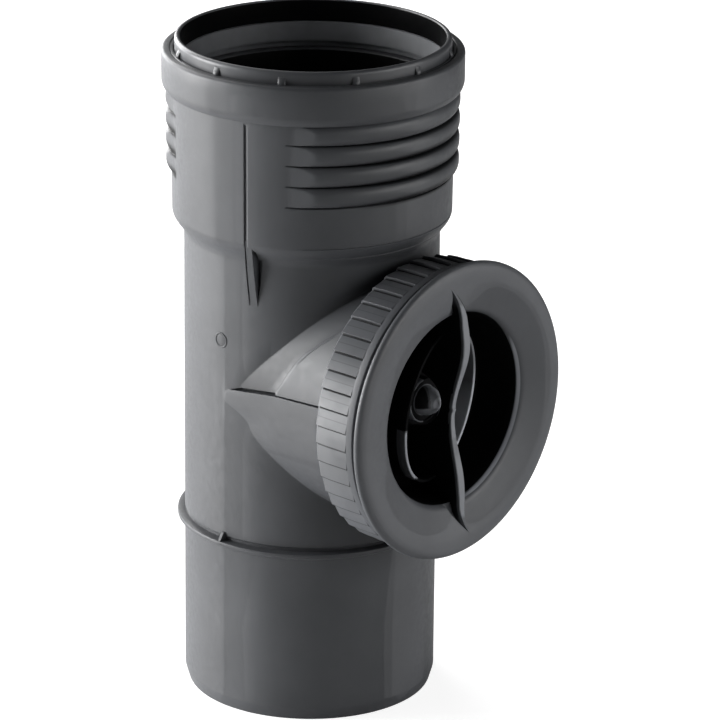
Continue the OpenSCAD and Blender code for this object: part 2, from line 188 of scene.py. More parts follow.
@dataclass(frozen=True)
class MouldedPlastic:
    """Moulded polypropylene: a satin skin with a fine grain and faint flow clouds."""

    name: str
    colour: Colour
    roughness: float = 0.42
    grain_mm: float = 0.35
    grain_depth: float = 0.02
    cloud: float = 0.10
    # a well, if given, gets painted shade on its walls
    well: PaintedShadeWell | None = None

    def material(self) -> Finish:
        """Builds the node material.

        Returns:
            The finished material, reading Object coordinates and the tones only.
        """
        mat, bench, shader = new_material(self.name)
        place = bench.add("TexCoord")["Object"]
        cloud = bench.add("TexNoise", {"Vector": place, "Scale": 38.0, "Detail": 3.0})["Fac"]
        colour = bench.ramp(cloud, (0.3, tinted(self.colour, 1 - self.cloud)),
                            (0.7, tinted(self.colour, 1 + self.cloud)))
        # painted shade in the well, and painted light and shade from the vertex tones
        if self.well:
            colour, gloss = self._paint_light(bench, place, colour)
            bench.feed(shader, {"Specular IOR Level": gloss})
        scale = 1000.0 / self.grain_mm / 6.0
        grain = bench.add("TexNoise", {"Vector": place, "Scale": scale, "Detail": 2.0})["Fac"]
        bump = {"Height": grain, "Strength": 0.25, "Distance": self.grain_depth * MM}
        rough = bench.remap(grain, self.roughness - 0.05, self.roughness + 0.06, 0.3, 0.7)
        bench.feed(shader, {"IOR": 1.49, "Base Color": colour, "Roughness": rough,
                            "Normal": bench.add("Bump", bump)["Normal"]})
        return mat

    def _paint_light(self, bench: Bench, place: Socket, colour: Socket) -> tuple[Socket, Socket]:
        """Paints shade on the walls of the well, where no light gets between them, and painted highlights
        where the tones ask for them.

        The mask is the product of four steps: below the outer and above the inner radius, below the
        reach and above the start. The vertex tone is added to it: 1 paints shade and -1 clears it, whatever
        the mask says, and the sum fades to a paler colour, a painted highlight, from -1 to -2.

        Args:
            bench: the material's bench.
            place: the Object coordinates.
            colour: the colour made so far.

        Returns:
            The colour with painted shade in the well and painted highlights from the tones, and the strength
            of the gloss, lowered under the painted shade.
        """
        well = self.well
        axes = bench.add("SeparateXYZ", {"Vector": place})
        up = axes["X"] if well.axis is Axis.PIPE else bench.math("SUBTRACT", axes["Z"], well.centre_z * MM)
        flat = bench.add("CombineXYZ", {"X": axes["Y"], "Y": up})["Vector"]
        radius, reach = bench.add("VectorMath", {0: flat}, operation="LENGTH")["Value"], axes[well.axis.value]
        mask = bench.step(radius, well.outer_r, False)
        for value, edge, rising in ((radius, well.inner_r, True), (reach, well.reach, False),
                                    (reach, well.start, True)):
            mask = bench.math("MULTIPLY", mask, bench.step(value, edge, rising))
        # painted shade: the well's mask plus the vertex tone
        mask = bench.math("ADD", mask, bench.add("Attribute", attribute_name=TONE)["Fac"])
        dark = bench.add("Mix", {"Factor": mask, "A": colour, "B": tinted(self.colour, well.share)},
                         data_type="RGBA", clamp_factor=True)["Result"]
        # painted highlight: sums from -1 to -2 fade to a paler colour
        pale = bench.remap(mask, 0.0, 1.0, -1.0, -2.0)
        lifted = bench.add("Mix", {"Factor": pale, "A": dark, "B": tinted(self.colour, PAINTED_LIGHT_GAIN)},
                           data_type="RGBA")["Result"]
        return lifted, bench.remap(mask, 0.5, 0.04)


@dataclass(frozen=True)
class SealRubber:
    """Black lip-seal rubber: matt, with a soft sheen and a faint bloom."""

    name: str
    colour: Colour = (0.145, 0.151, 0.161)
    roughness: float = 0.55

    def material(self) -> Finish:
        """Builds the node material.

        Returns:
            The finished material, reading Object coordinates only.
        """
        mat, bench, shader = new_material(self.name)
        place = bench.add("TexCoord")["Object"]
        bloom = bench.add("TexNoise", {"Vector": place, "Scale": 120.0})["Fac"]
        colour = bench.ramp(bloom, (0.0, tinted(self.colour, 0.8)), (1.0, tinted(self.colour, 1.35)))
        rough = bench.remap(bloom, self.roughness - 0.06, self.roughness + 0.08)
        bench.feed(shader, {"Base Color": colour, "Roughness": rough,
                            "Sheen Weight": 0.08, "Sheen Roughness": 0.5})
        return mat


# ---- mesh helpers ---------------------------------------------------------------------------


class Skin:
    """Collects grids and strips of points, in millimetres, into one closed and welded mesh."""

    def __init__(self, name: str) -> None:
        """Starts an empty skin.

        Args:
            name: the piece's name.
        """
        self.name = name
        self.points: list[Grid] = []
        self.quads: list[Grid] = []
        self.triangles: list[Grid] = []
        self.count = 0

    def _add(self, points: Grid) -> int:
        """Adds loose points.

        Args:
            points: any array whose last axis is 3.

        Returns:
            The number of the first point.
        """
        first = self.count
        flat = np.asarray(points, dtype=float).reshape(-1, 3)
        self.points.append(flat)
        self.count += len(flat)
        return first

    def grid(self, points: Grid, ring: bool = False) -> None:
        """Adds the quads between the rows and columns of a grid.

        Args:
            points: an array of rows by columns by 3.
            ring: whether the last column joins the first.
        """
        rows, cols = points.shape[:2]
        index = self._add(points) + np.arange(rows * cols).reshape(rows, cols)
        if ring:
            index = np.concatenate([index, index[:, :1]], axis=1)
        self.quads.append(np.stack(
            [index[:-1, :-1], index[:-1, 1:], index[1:, 1:], index[1:, :-1]], axis=-1).reshape(-1, 4))

    def fan(self, centre: tuple[float, float, float], rim: Grid) -> None:
        """Closes a ring of points with triangles to one centre point.

        Args:
            centre: the pole.
            rim: the ring, columns by 3.
        """
        first = self._add(np.vstack([[centre], rim]))
        near = first + 1 + np.arange(len(rim))
        far = np.roll(near, -1)
        self.triangles.append(np.stack([np.full(len(rim), first), near, far], axis=-1))

    def torus(self, points: Grid) -> None:
        """Adds ring-shaped rows, the last joined to the first."""
        self.grid(np.concatenate([points, points[:1]]), ring=True)

    def prism(self, *corners: Grid) -> None:
        """Adds a closed bar from the lines that its corners follow."""
        self.tube(np.stack(corners, axis=1))

    def tube(self, points: Grid) -> None:
        """Adds a ring-shaped grid closed at both ends.

        Args:
            points: rows by columns by 3, each row one closed outline.
        """
        self.grid(points, ring=True)
        for row in (points[0], points[-1]):
            self.fan(tuple(row.mean(axis=0)), row)

    def zipper(self, ring_a: Grid, ring_b: Grid, axis_z: float | None = None) -> None:
        """Joins two rings that turn the same way but have unlike numbers of points.

        Walking both rings by angle, each step forward on one ring makes the triangle with the point
        that the walk has reached on the other ring.

        Args:
            ring_a: the first ring, columns by 3, its angles rising.
            ring_b: the second ring.
            axis_z: height of the branch's axis for rings about it, none for rings about the pipe.
        """
        rings, turns = [], []
        for ring in (ring_a, ring_b):
            flat = ring[:, :2] if axis_z is None else ring[:, 1:] - np.array([0, axis_z])
            turn = np.mod(np.arctan2(flat[:, 1], flat[:, 0]), 2 * math.pi)
            start = -int(np.argmin(turn))
            rings.append(np.roll(ring, start, axis=0))
            turns.append(np.roll(turn, start))
        size_a, size_b = len(ring_a), len(ring_b)
        first_a, first_b = self._add(rings[0]), self._add(rings[1])
        ends = [np.append(turn[1:], turn[0] + 2 * math.pi) for turn in turns]
        order = np.argsort(np.concatenate(ends), kind="stable")
        from_a = order < size_a
        done_a, done_b = np.cumsum(from_a) - from_a, np.cumsum(~from_a) - ~from_a
        here_a, here_b = first_a + done_a % size_a, first_b + done_b % size_b
        next_a, next_b = first_a + (done_a + 1) % size_a, first_b + (done_b + 1) % size_b
        self.triangles.append(np.stack([here_a, np.where(from_a, next_a, next_b), here_b], axis=-1))

    def raw(self, weld: float = 2e-6, tone: Grid | None = None) -> bpy.types.Mesh:
        """Makes the bare mesh: welds the seams and turns the faces outwards.

        Args:
            weld: points closer than this, in metres, become one.
            tone: a value for each point, kept as an attribute.

        Returns:
            The mesh.
        """
        mesh = bpy.data.meshes.new(self.name)
        faces = [tuple(f) for part in self.quads + self.triangles for f in part.tolist()]
        mesh.from_pydata((np.vstack(self.points) * MM).tolist(), [], faces)
        if tone is not None:
            mesh.attributes.new(TONE, "FLOAT", "POINT").data.foreach_set("value", tone)
        loose = bmesh.new()
        loose.from_mesh(mesh)
        bmesh.ops.remove_doubles(loose, verts=loose.verts, dist=weld)
        bmesh.ops.dissolve_degenerate(loose, dist=weld / 4, edges=loose.edges)
        bmesh.ops.recalc_face_normals(loose, faces=loose.faces)
        loose.to_mesh(mesh)
        loose.free()
        return mesh

    def make(self, finish: Finish, body: str, slot: str, sharp: float = 30.0,
             tone: Grid | None = None, cut: "Skin | None" = None) -> Piece:
        """Makes the object, cuts it and shades it.

        Args:
            finish: the piece's material.
            body: the body that the piece rides on.
            slot: the record's material slot; not used.
            sharp: edges that bend by more degrees than this stay sharp.
            tone: a value for each point, kept as an attribute.
            cut: closed shapes to take away; where tones are given, the faces they cut get painted shade.

        Returns:
            The finished object, at the origin.
        """
        piece = bpy.data.objects.new(self.name, self.raw(tone=tone))
        bpy.context.collection.objects.link(piece)
        if cut:
            # painted shade on the faces that the cut leaves, where tones are given
            dark = None if tone is None else np.full(cut.count, 0.9)
            cutter = bpy.data.objects.new(cut.name, cut.raw(tone=dark))
            bpy.context.collection.objects.link(cutter)
            step = piece.modifiers.new("cut", "BOOLEAN")
            step.operation, step.solver, step.object, step.use_self = "DIFFERENCE", "EXACT", cutter, True
            graph = bpy.context.evaluated_depsgraph_get()
            baked = bpy.data.meshes.new_from_object(piece.evaluated_get(graph))
            piece.modifiers.clear()
            piece.data = baked
            bpy.data.objects.remove(cutter)
        mesh = piece.data
        mesh.shade_smooth()
        mesh.set_sharp_from_angle(angle=math.radians(sharp))
        mesh.materials.clear()
        mesh.materials.append(finish)
        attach(piece, body)
        LOG.info("%s: %d faces", self.name, len(mesh.polygons))
        return piece


def around(radius: Grid | float, height: Grid | float, turn: Grid | float) -> Grid:
    """Points at a radius and a height for each angle about Z, broadcast to one grid.

    Args:
        radius: radii in millimetres.
        height: heights in millimetres.
        turn: angles in radians.

    Returns:
        An array of rows by columns by 3.
    """
    radius, height, turn = np.broadcast_arrays(radius, height, turn)
    return np.stack([radius * np.cos(turn), radius * np.sin(turn), height], axis=-1)


def round_branch(radius: Grid | float, reach: Grid | float, turn: Grid, axis_z: float) -> Grid:
    """Points at a radius and a reach for each angle about the branch's axis.

    Args:
        radius: distance from the branch's axis.
        reach: distance from the pipe's axis along +X.
        turn: angles in radians, from +Y towards +Z.
        axis_z: height of the branch's axis.

    Returns:
        An array of rows by columns by 3.
    """
    across, up, out = np.moveaxis(around(radius, reach, turn), -1, 0)
    return np.stack([out, across, axis_z + up], axis=-1)


def folded(column: Grid) -> Grid:
    """Degrees from the nearer end of a half turn, for a column of the branch."""
    return np.minimum(np.abs(column), 180 - np.abs(column))


def off_pad(turn: Grid) -> Grid:
    """Degrees from the middle of the nearer grip pad, front or back."""
    return np.degrees(np.abs(np.mod(turn + math.pi / 2, math.pi) - math.pi / 2))


def soft_step(value: Grid, low: float, high: float) -> Grid:
    """0 below low, 1 above high, and a smooth cubic between."""
    share = np.clip((value - low) / (high - low), 0.0, 1.0)
    return share * share * (3 - 2 * share)


def soft_min(first: Grid, second: Grid, width: float) -> Grid:
    """The lesser of two values, with the corner between them rounded over a width."""
    share = np.clip(0.5 + 0.5 * (second - first) / width, 0.0, 1.0)
    return second * (1 - share) + first * share - width * share * (1 - share)


def turned(profile: Grid | list, turn: Grid) -> Grid:
    """Rows about the pipe's axis from pairs of radius and height."""
    points = np.array(profile)
    return around(points[:, :1], points[:, 1:], turn)


def turned_branch(profile: Grid | list, turn: Grid, axis_z: float) -> Grid:
    """Rows about the branch's axis from pairs of radius and reach, the radius also by angle."""
    return np.stack([round_branch(radius, reach, turn, axis_z) for radius, reach in profile])


def beside(radius: Grid, across: Grid, height: Grid, angle: float) -> Grid:
    """Points at a radius and a distance across it, about one angle round the pipe.

    Args:
        radius: distance from the pipe's axis along the angle.
        across: distance square to that.
        height: heights.
        angle: the angle in radians.

    Returns:
        An array of rows by columns by 3.
    """
    x = radius * math.cos(angle) - across * math.sin(angle)
    y = radius * math.sin(angle) + across * math.cos(angle)
    return np.stack([x, y, np.broadcast_to(height, x.shape)], axis=-1)


def thread_rows(radius: float, out: float, span: tuple[float, float], count: int, turn: Grid,
                phase: float) -> list[tuple[Grid, float]]:
    """A wall with a right-handed thread: a rounded ridge that climbs by the lead each turn.

    Args:
        radius: the plain wall's radius.
        out: how far the ridge stands out, or in where it is negative.
        span: reaches at which the thread starts and ends.
        count: number of rows.
        turn: angles in radians.
        phase: where the ridge starts, as a share of a turn.

    Returns:
        A radius for each angle, and the reach, for each row.
    """
    rows, (low, high) = [], span
    for reach in np.linspace(low, high, count):
        rise = out * soft_step(reach, low, low + THREAD_RUN) * (1 - soft_step(reach, high - THREAD_RUN, high))
        place = np.mod((reach - THREAD_LEAD * turn / (2 * math.pi)) / THREAD_LEAD - phase + 0.5, 1.0) - 0.5
        rows.append((radius + rise * (1 - soft_step(np.abs(place) * THREAD_LEAD, 0.45, 1.15)), reach))
    return rows


# ---- pipe body ------------------------------------------------------------------------------


@dataclass
class PipeBody:
    """The moulded pipe: spigot, collar, barrel with its branch, socket and seal chamber.

    The lines of lip, slot and band give a height over the branch's axis, or the reach for one, from
    two rows of values. The profiles are pairs of radius and height.
    """

    finish: MouldedPlastic
    barrel_r: float = 45.0
    bore_r: float = 41.9
    branch_z: float = 118.5
    branch_r: float = 45.0
    upper_r: float = 44.95
    band_r: float = 44.68
    parting: float = 4.8
    shoulder_x: float = 50.0
    mouth_x: float = 64.0
    neck_r: float = 43.1
    neck_bore_r: float = 39.8
    thread_out: float = 1.7
    thread_span: tuple[float, float] = (52.2, 62.9)
    root_round: float = 0.5
    barrel_low_z: float = 66.15
    bore_low_z: float = 0.5
    bore_high_z: float = 172.6
    flare_low_z: float = 169.0
    flare_z: float = 177.6
    flare_lines: Line = ((172.9, 0.2), (177.35, 0.3))
    socket_r: float = 49.15
    draft: float = 0.3
    draft_len: float = 42.4
    chamber_r: float = 52.75
    chamber_bore_r: float = 49.75
    floor_z: float = 221.9
    shoulder_z: float = 235.3
    ridge_top_z: float = 221.5
    ridge_pitch: float = 7.35
    ridge_out: float = 1.9
    ridge_n: int = 4
    pad_half: float = 58.6
    pad_ramp: float = 13.0
    mark_z: float = 138.6
    mark_turn: float = 91.6
    seam_turn: float = 75.2
    seam_w: float = 0.75
    seam_depth: float = 0.6
    name: str = "moulded_pipe"
    lip_line: Line = ((0.0, 4.0, 24.0, 43.6, 50.5), (2.6, 2.95, 5.5, 6.33, 6.5))
    slot_line: Line = ((2.9, 8.0, 24.1, 24.3, 43.6, 50.5), (2.95, 4.75, 6.85, 6.05, 7.1, 7.3))
    slot_floor: Line = ((2.9, 5.0, 9.0, 15.0, 20.0), (44.3, 42.9, 42.3, 41.3, 41.0))
    band_line: Line = ((0.0, 7.0, 10.3, 14.1, 18.5, 21.9, 25.7, 29.0, 31.5, 45.0),
                       (20.0, 24.2, 26.4, 28.2, 30.6, 33.2, 37.3, 41.5, 44.5, 60.0))
    spigot: Line = ((43.45, 0.0), (43.62, 0.06), (43.75, 0.3), (44.9, 4.15), (44.97, 4.5), (45.0, 5.0),
                    (45.0, 33.0), (45.0, 61.4), (45.06, 61.62), (47.42, 62.86), (47.56, 63.0), (47.6, 63.2),
                    (47.6, 64.15), (47.52, 64.33), (47.35, 64.4), (45.0, 64.4), (44.5, 64.42),
                    (44.25, 64.55), (44.25, 65.5), (44.5, 65.85), (45.0, 66.15))
    socket_bore: Line = ((41.9, 173.4), (45.3, 176.85), (45.45, 177.2), (45.45, 199.0), (45.45, 221.0),
                         (45.6, 221.3), (46.15, 221.85), (46.3, 221.9), (49.4, 221.9), (49.75, 222.3),
                         (49.75, 229.0), (49.75, 234.0))
    skin: Skin = field(init=False)

    def __post_init__(self) -> None:
        """Names the columns of the branch, in degrees: above its middle from 0 to 180, below negative."""
        self.skin = Skin(self.name)
        fine = np.linspace(13.5, 90, 62)
        upper = np.concatenate([[0, 1.2, 2.4, 3.6, self.parting, self.parting + 0.2, 6.5, 8, 9.5],
                                np.linspace(10.8, 12.6, 10), fine])
        lower = np.concatenate([[0, 1.2, 2.4, 3.6, 4.8, 6.5, 8, 9.5, 11, 12.3], fine])
        self.upper = np.concatenate([upper, 180 - upper[-2::-1]])
        self.lower = -np.concatenate([lower, 180 - lower[-2::-1]])

    def _turn_at(self, column: Grid, reach: Grid) -> Grid:
        """Angle about the branch of a column, which follows the parting line as that line rises.

        Args:
            column: the column's name in degrees.
            reach: distance from the pipe's axis.

        Returns:
            Angles in radians.
        """
        lip, fold = np.interp(reach, *self.lip_line), folded(column)
        slot = np.interp(reach, *self.slot_line)
        middle = np.where(reach < self.slot_line[0][0], lip, (lip + slot) / 2)
        ledge = np.degrees(np.arcsin(middle / self.branch_r))
        above = ledge + (fold - self.parting) * (90 - ledge) / (90 - self.parting)
        bent = np.where(fold <= self.parting, ledge * fold / self.parting, above)
        bent = np.where(column < 0, fold, bent)
        turn = np.where(np.abs(column) <= 90, bent, 180 - bent)
        return np.radians(np.where(column < 0, -turn, turn))

    def _radius_at(self, column: Grid, reach: Grid) -> Grid:
        """Radius of the branch: full below the parting line and set back in two steps above it.

        Near the pipe the lower half is a little proud at its very tip and hollow just below it.

        Args:
            column: the column's name in degrees.
            reach: distance from the pipe's axis.

        Returns:
            Radii.
        """
        fold = folded(column)
        height = self.band_r * np.abs(np.sin(self._turn_at(column, reach)))
        past = reach - np.interp(height, *self.band_line)
        high = self.band_r + (self.upper_r - self.band_r) * soft_step(past, -0.3, 0.3)
        crease = soft_step(height, 18, 20) * (1 - soft_step(height, 29, 31))
        high = high - 0.1 * crease * (1 - soft_step(np.abs(past - 1.3), 0.1, 0.3))
        tip = 0.1 * (1 - soft_step(fold, 2.0, 5.5)) - 0.5 * np.exp(-((fold - 10) / 4) ** 2) * (column < 0)
        low = self.branch_r + tip * (1 - soft_step(reach, 9, 24))
        return np.where((column > 0) & (fold > self.parting + 0.05), high, low)

    def _root(self, column: Grid) -> tuple[Grid, Grid, Grid]:
        """Where the branch's outline meets the barrel.

        Both are cylinders: at the sideways place y the barrel's surface lies at
        x = sqrt(barrel_r^2 - y^2). A few rounds find the reach at which a column meets it. At the tip
        the branch is as wide as the barrel, so the place is held a little inside the barrel's side.

        Args:
            column: the columns' names in degrees.

        Returns:
            The reach, the sideways place and the height over the branch's axis, for each column.
        """
        reach = np.full(len(column), 5.0)
        limit = self.barrel_r * np.cos(0.3 * np.radians(folded(column)))
        for _ in range(12):
            turn, radius = self._turn_at(column, reach), self._radius_at(column, reach)
            side = np.clip(radius * np.cos(turn), -limit, limit)
            reach = np.sqrt(np.maximum(self.barrel_r ** 2 - side ** 2, 0))
        return reach, side, radius * np.sin(turn)

    def _columns(self, column: Grid) -> tuple[Grid, Grid, Grid]:
        """Columns all round the pipe, the front ones at the branch's root.

        Args:
            column: the branch's columns for the upper or the lower half.

        Returns:
            Angles about the pipe, rising; the height of the root there; and the width of the fillet.
        """
        _, side, up = self._root(column)
        front, height = np.arcsin(side / self.barrel_r)[::-1], self.branch_z + up[::-1]
        fillet = self.root_round * soft_step(front[-1] - np.abs(front), 0.0, math.radians(14))
        back = np.linspace(front[-1], 2 * math.pi + front[0], 150)[1:-1]
        return (np.concatenate([front, back]),
                np.concatenate([height, np.full(len(back), self.branch_z)]),
                np.concatenate([fillet, np.zeros(len(back))]))

    def _socket_radius(self, height: Grid, turn: Grid) -> Grid:
        """Outside radius of the socket, with its ridges and its parting line.

        The wall widens by draft over its length. A ridge adds ridge_out times 1 - |2u - 1|^3.2 for
        u from 0 to 1 down the ridge, and is cut off at each end of its pad by a flat ramp, a straight
        chord of the circle. The parting line is a narrow groove beside each pad.

        Args:
            height: heights.
            turn: angles about the pipe.

        Returns:
            The radius at each point.
        """
        wall = self.socket_r + self.draft * (height - self.flare_z) / self.draft_len
        count = (self.ridge_top_z - height) / self.ridge_pitch
        share = np.mod(count, 1.0)
        inside = (count > 0) & (count < self.ridge_n)
        hump = np.where(inside, 1 - np.abs(2 * share - 1) ** 3.2, 0.0) * self.ridge_out
        near = np.minimum(share, 1 - share) * self.ridge_pitch
        crease = np.where((count > -0.05) & (count < self.ridge_n + 0.05), np.exp(-(near / 0.24) ** 2), 0.0)
        front, spread = off_pad(turn), np.radians(off_pad(turn))
        outer, flat = self.socket_r + self.ridge_out + self.draft, self.pad_half - self.pad_ramp
        inner_end, outer_end = (np.array([math.cos(a), math.sin(a)]) * r for a, r in (
            (math.radians(flat), outer), (math.radians(self.pad_half), self.socket_r)))
        normal = np.array([outer_end[1] - inner_end[1], inner_end[0] - outer_end[0]])
        normal /= np.linalg.norm(normal)
        chord = np.cos(spread) * normal[0] + np.sin(spread) * normal[1]
        chord = np.where(front < flat - 3, outer + 1, (inner_end @ normal) / np.maximum(chord, 0.2))
        ridge = np.maximum(soft_min(wall + hump, chord, 0.25), wall)
        ridge = np.where(front < self.pad_half + 0.5, ridge, wall)
        ridge = ridge - 0.5 * crease * (1 - soft_step(front, self.pad_half - 10, self.pad_half + 0.5))
        end = soft_step(height, self.ridge_top_z - 2.0, self.ridge_top_z - 1.6)
        return ridge - self._parting_line(turn) * (1 - end)

    def _parting_line(self, turn: Grid) -> Grid:
        """Depth of the groove beside each pad, at each angle about the pipe.

        Args:
            turn: angles about the pipe.

        Returns:
            Depths, full within 0.3 of the groove's width and 0 beyond 0.62 of it.
        """
        off = np.abs(np.degrees(np.abs(np.mod(turn + math.pi, 2 * math.pi) - math.pi)) - self.seam_turn)
        off = np.radians(off) * self.socket_r
        return self.seam_depth * (1 - soft_step(off, self.seam_w * 0.3, self.seam_w * 0.62))

    def _flare(self, turn: Grid) -> Grid:
        """The flare below the socket: half a cosine wave, with two fine lines that fade to the sides.

        Args:
            turn: angles about the pipe.

        Returns:
            Rows of points.
        """
        fine = np.array([-0.25, -0.12, 0.0, 0.12, 0.25])
        (low, _), (high, _) = self.flare_lines
        height = np.concatenate([np.linspace(169.2, 172.3, 7), low + fine, np.linspace(173.6, 176.9, 9),
                                 high + fine[:-1]])[:, None]
        share = (height - self.flare_low_z) / (self.flare_z - self.flare_low_z)
        radius = self.barrel_r + (self.socket_r - self.barrel_r) * (0.5 - 0.5 * np.cos(math.pi * share))
        lines = sum(depth * np.exp(-((height - z) / 0.13) ** 2) for z, depth in self.flare_lines)
        radius = radius - lines * (1 - soft_step(off_pad(turn), 38, 62))
        groove = self._parting_line(turn) * soft_step(height, self.flare_z - 3, self.flare_z - 2.4)
        return around(radius - groove, height, turn)

    def _outside_low(self) -> Grid:
        """Spigot, collar and lower barrel up to the branch's root.

        Returns:
            The ring at the spigot's end.
        """
        turn, root_z, fillet = self._columns(self.lower)
        share = np.linspace(0, 1, 6)[1:, None]
        height = self.barrel_low_z + (root_z - fillet - self.barrel_low_z) * share
        barrel = around(self.barrel_r, height, turn)
        rows = np.concatenate([turned(self.spigot, turn), barrel])
        self.skin.grid(rows, ring=True)
        return rows[0]

    def _outside_high(self) -> Grid:
        """Upper barrel, flare, ridged socket and chamber.

        Returns:
            The ring at the top's inner edge.
        """
        turn, root_z, fillet = self._columns(self.upper)
        start = root_z + fillet
        height = start + (self.flare_low_z - start) * np.linspace(0, 1, 6)[:, None]
        barrel = around(self.barrel_r, height, turn)
        near = np.array([0, .02, .05, .1, .17, .26, .37])
        share = np.concatenate([near, 1 - np.array([.5, .37, .26, .17, .1, .05, .02])])
        ridge_low = self.ridge_top_z - self.ridge_n * self.ridge_pitch
        ridges = (ridge_low + (np.arange(self.ridge_n)[:, None] + share[None, :]) * self.ridge_pitch).ravel()
        plain = np.array([177.6, 177.8, 179.0, 183.0, 187.0, 190.6, 191.6])
        height = np.concatenate([plain, ridges])[:, None]
        socket = around(self._socket_radius(height, turn), height, turn)
        bend = np.radians(np.linspace(-42, 0, 9))
        r, top = self.chamber_r, self.shoulder_z
        corner = [(r - 5 + 5 * math.cos(b), self.floor_z + 3 + 5 * math.sin(b)) for b in bend]
        edge = [(r, 230.0), (r, top - 1.1), (r - 0.08, top - 0.75), (r - 0.3, top - 0.38),
                (r - 0.65, top - 0.1), (r - 1.0, top), (self.chamber_bore_r + 0.35, top),
                (self.chamber_bore_r, top - 0.35)]
        upper = turned(corner + edge, turn)
        rows = np.concatenate([barrel, self._flare(turn), socket, upper])
        self.skin.grid(rows, ring=True)
        return rows[-1]

    def _inside(self, top_ring: Grid, foot_ring: Grid) -> None:
        """Chamber, socket bore, stop, bore and the branch's bore.

        The branch's bore meets the pipe's bore where y = neck_bore_r cos(turn) on both.

        Args:
            top_ring: the outside's last ring, at the chamber's top.
            foot_ring: the outside's first ring, at the spigot's end.
        """
        turn_b = np.radians(np.concatenate([[0, 1, 3, 5.5], np.arange(8, 172.1, 2), [174.5, 177, 179, 180]]))
        halves = []
        for sign in (1, -1):
            side = np.arcsin(self.neck_bore_r * np.cos(turn_b) / self.bore_r)[::-1]
            height = (self.branch_z + sign * self.neck_bore_r * np.sin(turn_b))[::-1]
            back = np.linspace(side[-1], 2 * math.pi + side[0], 110)[1:-1]
            halves.append((np.concatenate([side, back]),
                           np.concatenate([height, np.full(len(back), self.branch_z)])))
        turn, root = halves[0]
        share = np.linspace(0, 1, 4)[:, None]
        barrel = around(self.bore_r, root + (self.bore_high_z - root) * share, turn)
        rows = np.concatenate([barrel, turned(self.socket_bore, turn)])
        self.skin.grid(rows, ring=True)
        self.skin.zipper(rows[-1], top_ring)
        turn, root = halves[1]
        barrel = around(self.bore_r, root + (self.bore_low_z - root) * share, turn)
        rows = np.concatenate([barrel, turned([(42.0, 0.12), (42.15, 0.0)], turn)])
        self.skin.grid(rows, ring=True)
        self.skin.zipper(rows[-1], foot_ring)
        ring = np.concatenate([turn_b, -turn_b[-2:0:-1]])
        side = self.neck_bore_r * np.cos(ring)
        start = np.sqrt(self.bore_r ** 2 - side ** 2)
        reach = start + (self.mouth_x - 1.0 - start) * np.linspace(0, 1, 5)[:, None]
        bore = round_branch(self.neck_bore_r, reach, ring, self.branch_z)
        lip = turned_branch([(self.neck_bore_r + 0.25, self.mouth_x - 0.25),
                             (self.neck_bore_r + 0.6, self.mouth_x)], ring, self.branch_z)
        self._mouth = np.concatenate([bore, lip])
        self.skin.grid(self._mouth, ring=True)

    def _branch(self) -> None:
        """Branch outside: root fillet, set-back upper half with its band, shoulder, neck and mouth."""
        column = np.concatenate([self.upper, self.lower[-2:0:-1]])
        start, side, up = self._root(column)
        pipe_turn = np.arcsin(side / self.barrel_r)
        fillet = self.root_round * soft_step(math.pi / 2 - np.abs(pipe_turn), 0.0, math.radians(14))
        away = np.where(up >= 0, 1.0, -1.0)
        corner = np.stack([start, side, self.branch_z + up], axis=-1)
        barrel_edge = corner + np.stack([0 * start, 0 * start, away * fillet], axis=-1)
        branch_edge = corner + np.stack([fillet, 0 * start, 0 * start], axis=-1)
        share = np.linspace(0, 1, 5)[:, None, None]
        bend = (1 - share) ** 2 * barrel_edge + 2 * share * (1 - share) * corner + share ** 2 * branch_edge
        inner = start + fillet
        last = self.shoulder_x - 0.5
        mark = np.clip(np.interp(np.abs(up), *self.band_line), inner + 3.0, last - 2.0)
        for _ in range(4):
            height = self.band_r * np.abs(np.sin(self._turn_at(column, mark)))
            mark = np.clip(np.interp(height, *self.band_line), inner + 3.0, last - 2.0)
        quarters = (0.25, 0.5, 0.75, 1.0)
        stops = [inner + 0.35, inner + 1.2] + [inner + 1.2 + (mark - 0.3 - inner - 1.2) * s for s in quarters]
        stops += [mark + past for past in (-0.12, 0.0, 0.12, 0.3, 1.0, 1.2, 1.4, 1.6)]
        stops += [mark + 1.6 + (last - mark - 1.6) * s for s in quarters]
        reach = np.stack(stops)
        outer = round_branch(self._radius_at(column, reach), reach, self._turn_at(column, reach),
                             self.branch_z)
        turn, edge_r = self._turn_at(column, reach[-1]), self._radius_at(column, reach[-1])
        neck = [(edge_r - 0.1, self.shoulder_x - 0.12), (edge_r - 0.45, self.shoulder_x),
                (self.neck_r, self.shoulder_x)]
        neck += thread_rows(self.neck_r, self.thread_out, self.thread_span, 43, turn, 0.5)
        neck += [(self.neck_r, self.mouth_x - 0.9), (self.neck_r - 0.25, self.mouth_x - 0.25),
                 (self.neck_r - 0.9, self.mouth_x)]
        rows = turned_branch(neck, turn, self.branch_z)
        self.skin.grid(np.concatenate([bend, outer, rows]), ring=True)
        self.skin.zipper(rows[-1], self._mouth[-1], self.branch_z)

    def _marks(self) -> None:
        """The two small fins on the collar."""
        for side in Side:
            turn = side.value * math.pi / 2
            radius, height = np.array([(44.3, 64.2), (47.3, 64.2), (47.3, 64.75), (45.6, 67.2), (44.9, 67.4),
                                       (44.3, 67.4)]).T
            fin = [around(radius, height, turn + across / radius) for across in (-0.5, 0.5)]
            self.skin.tube(np.stack(fin))

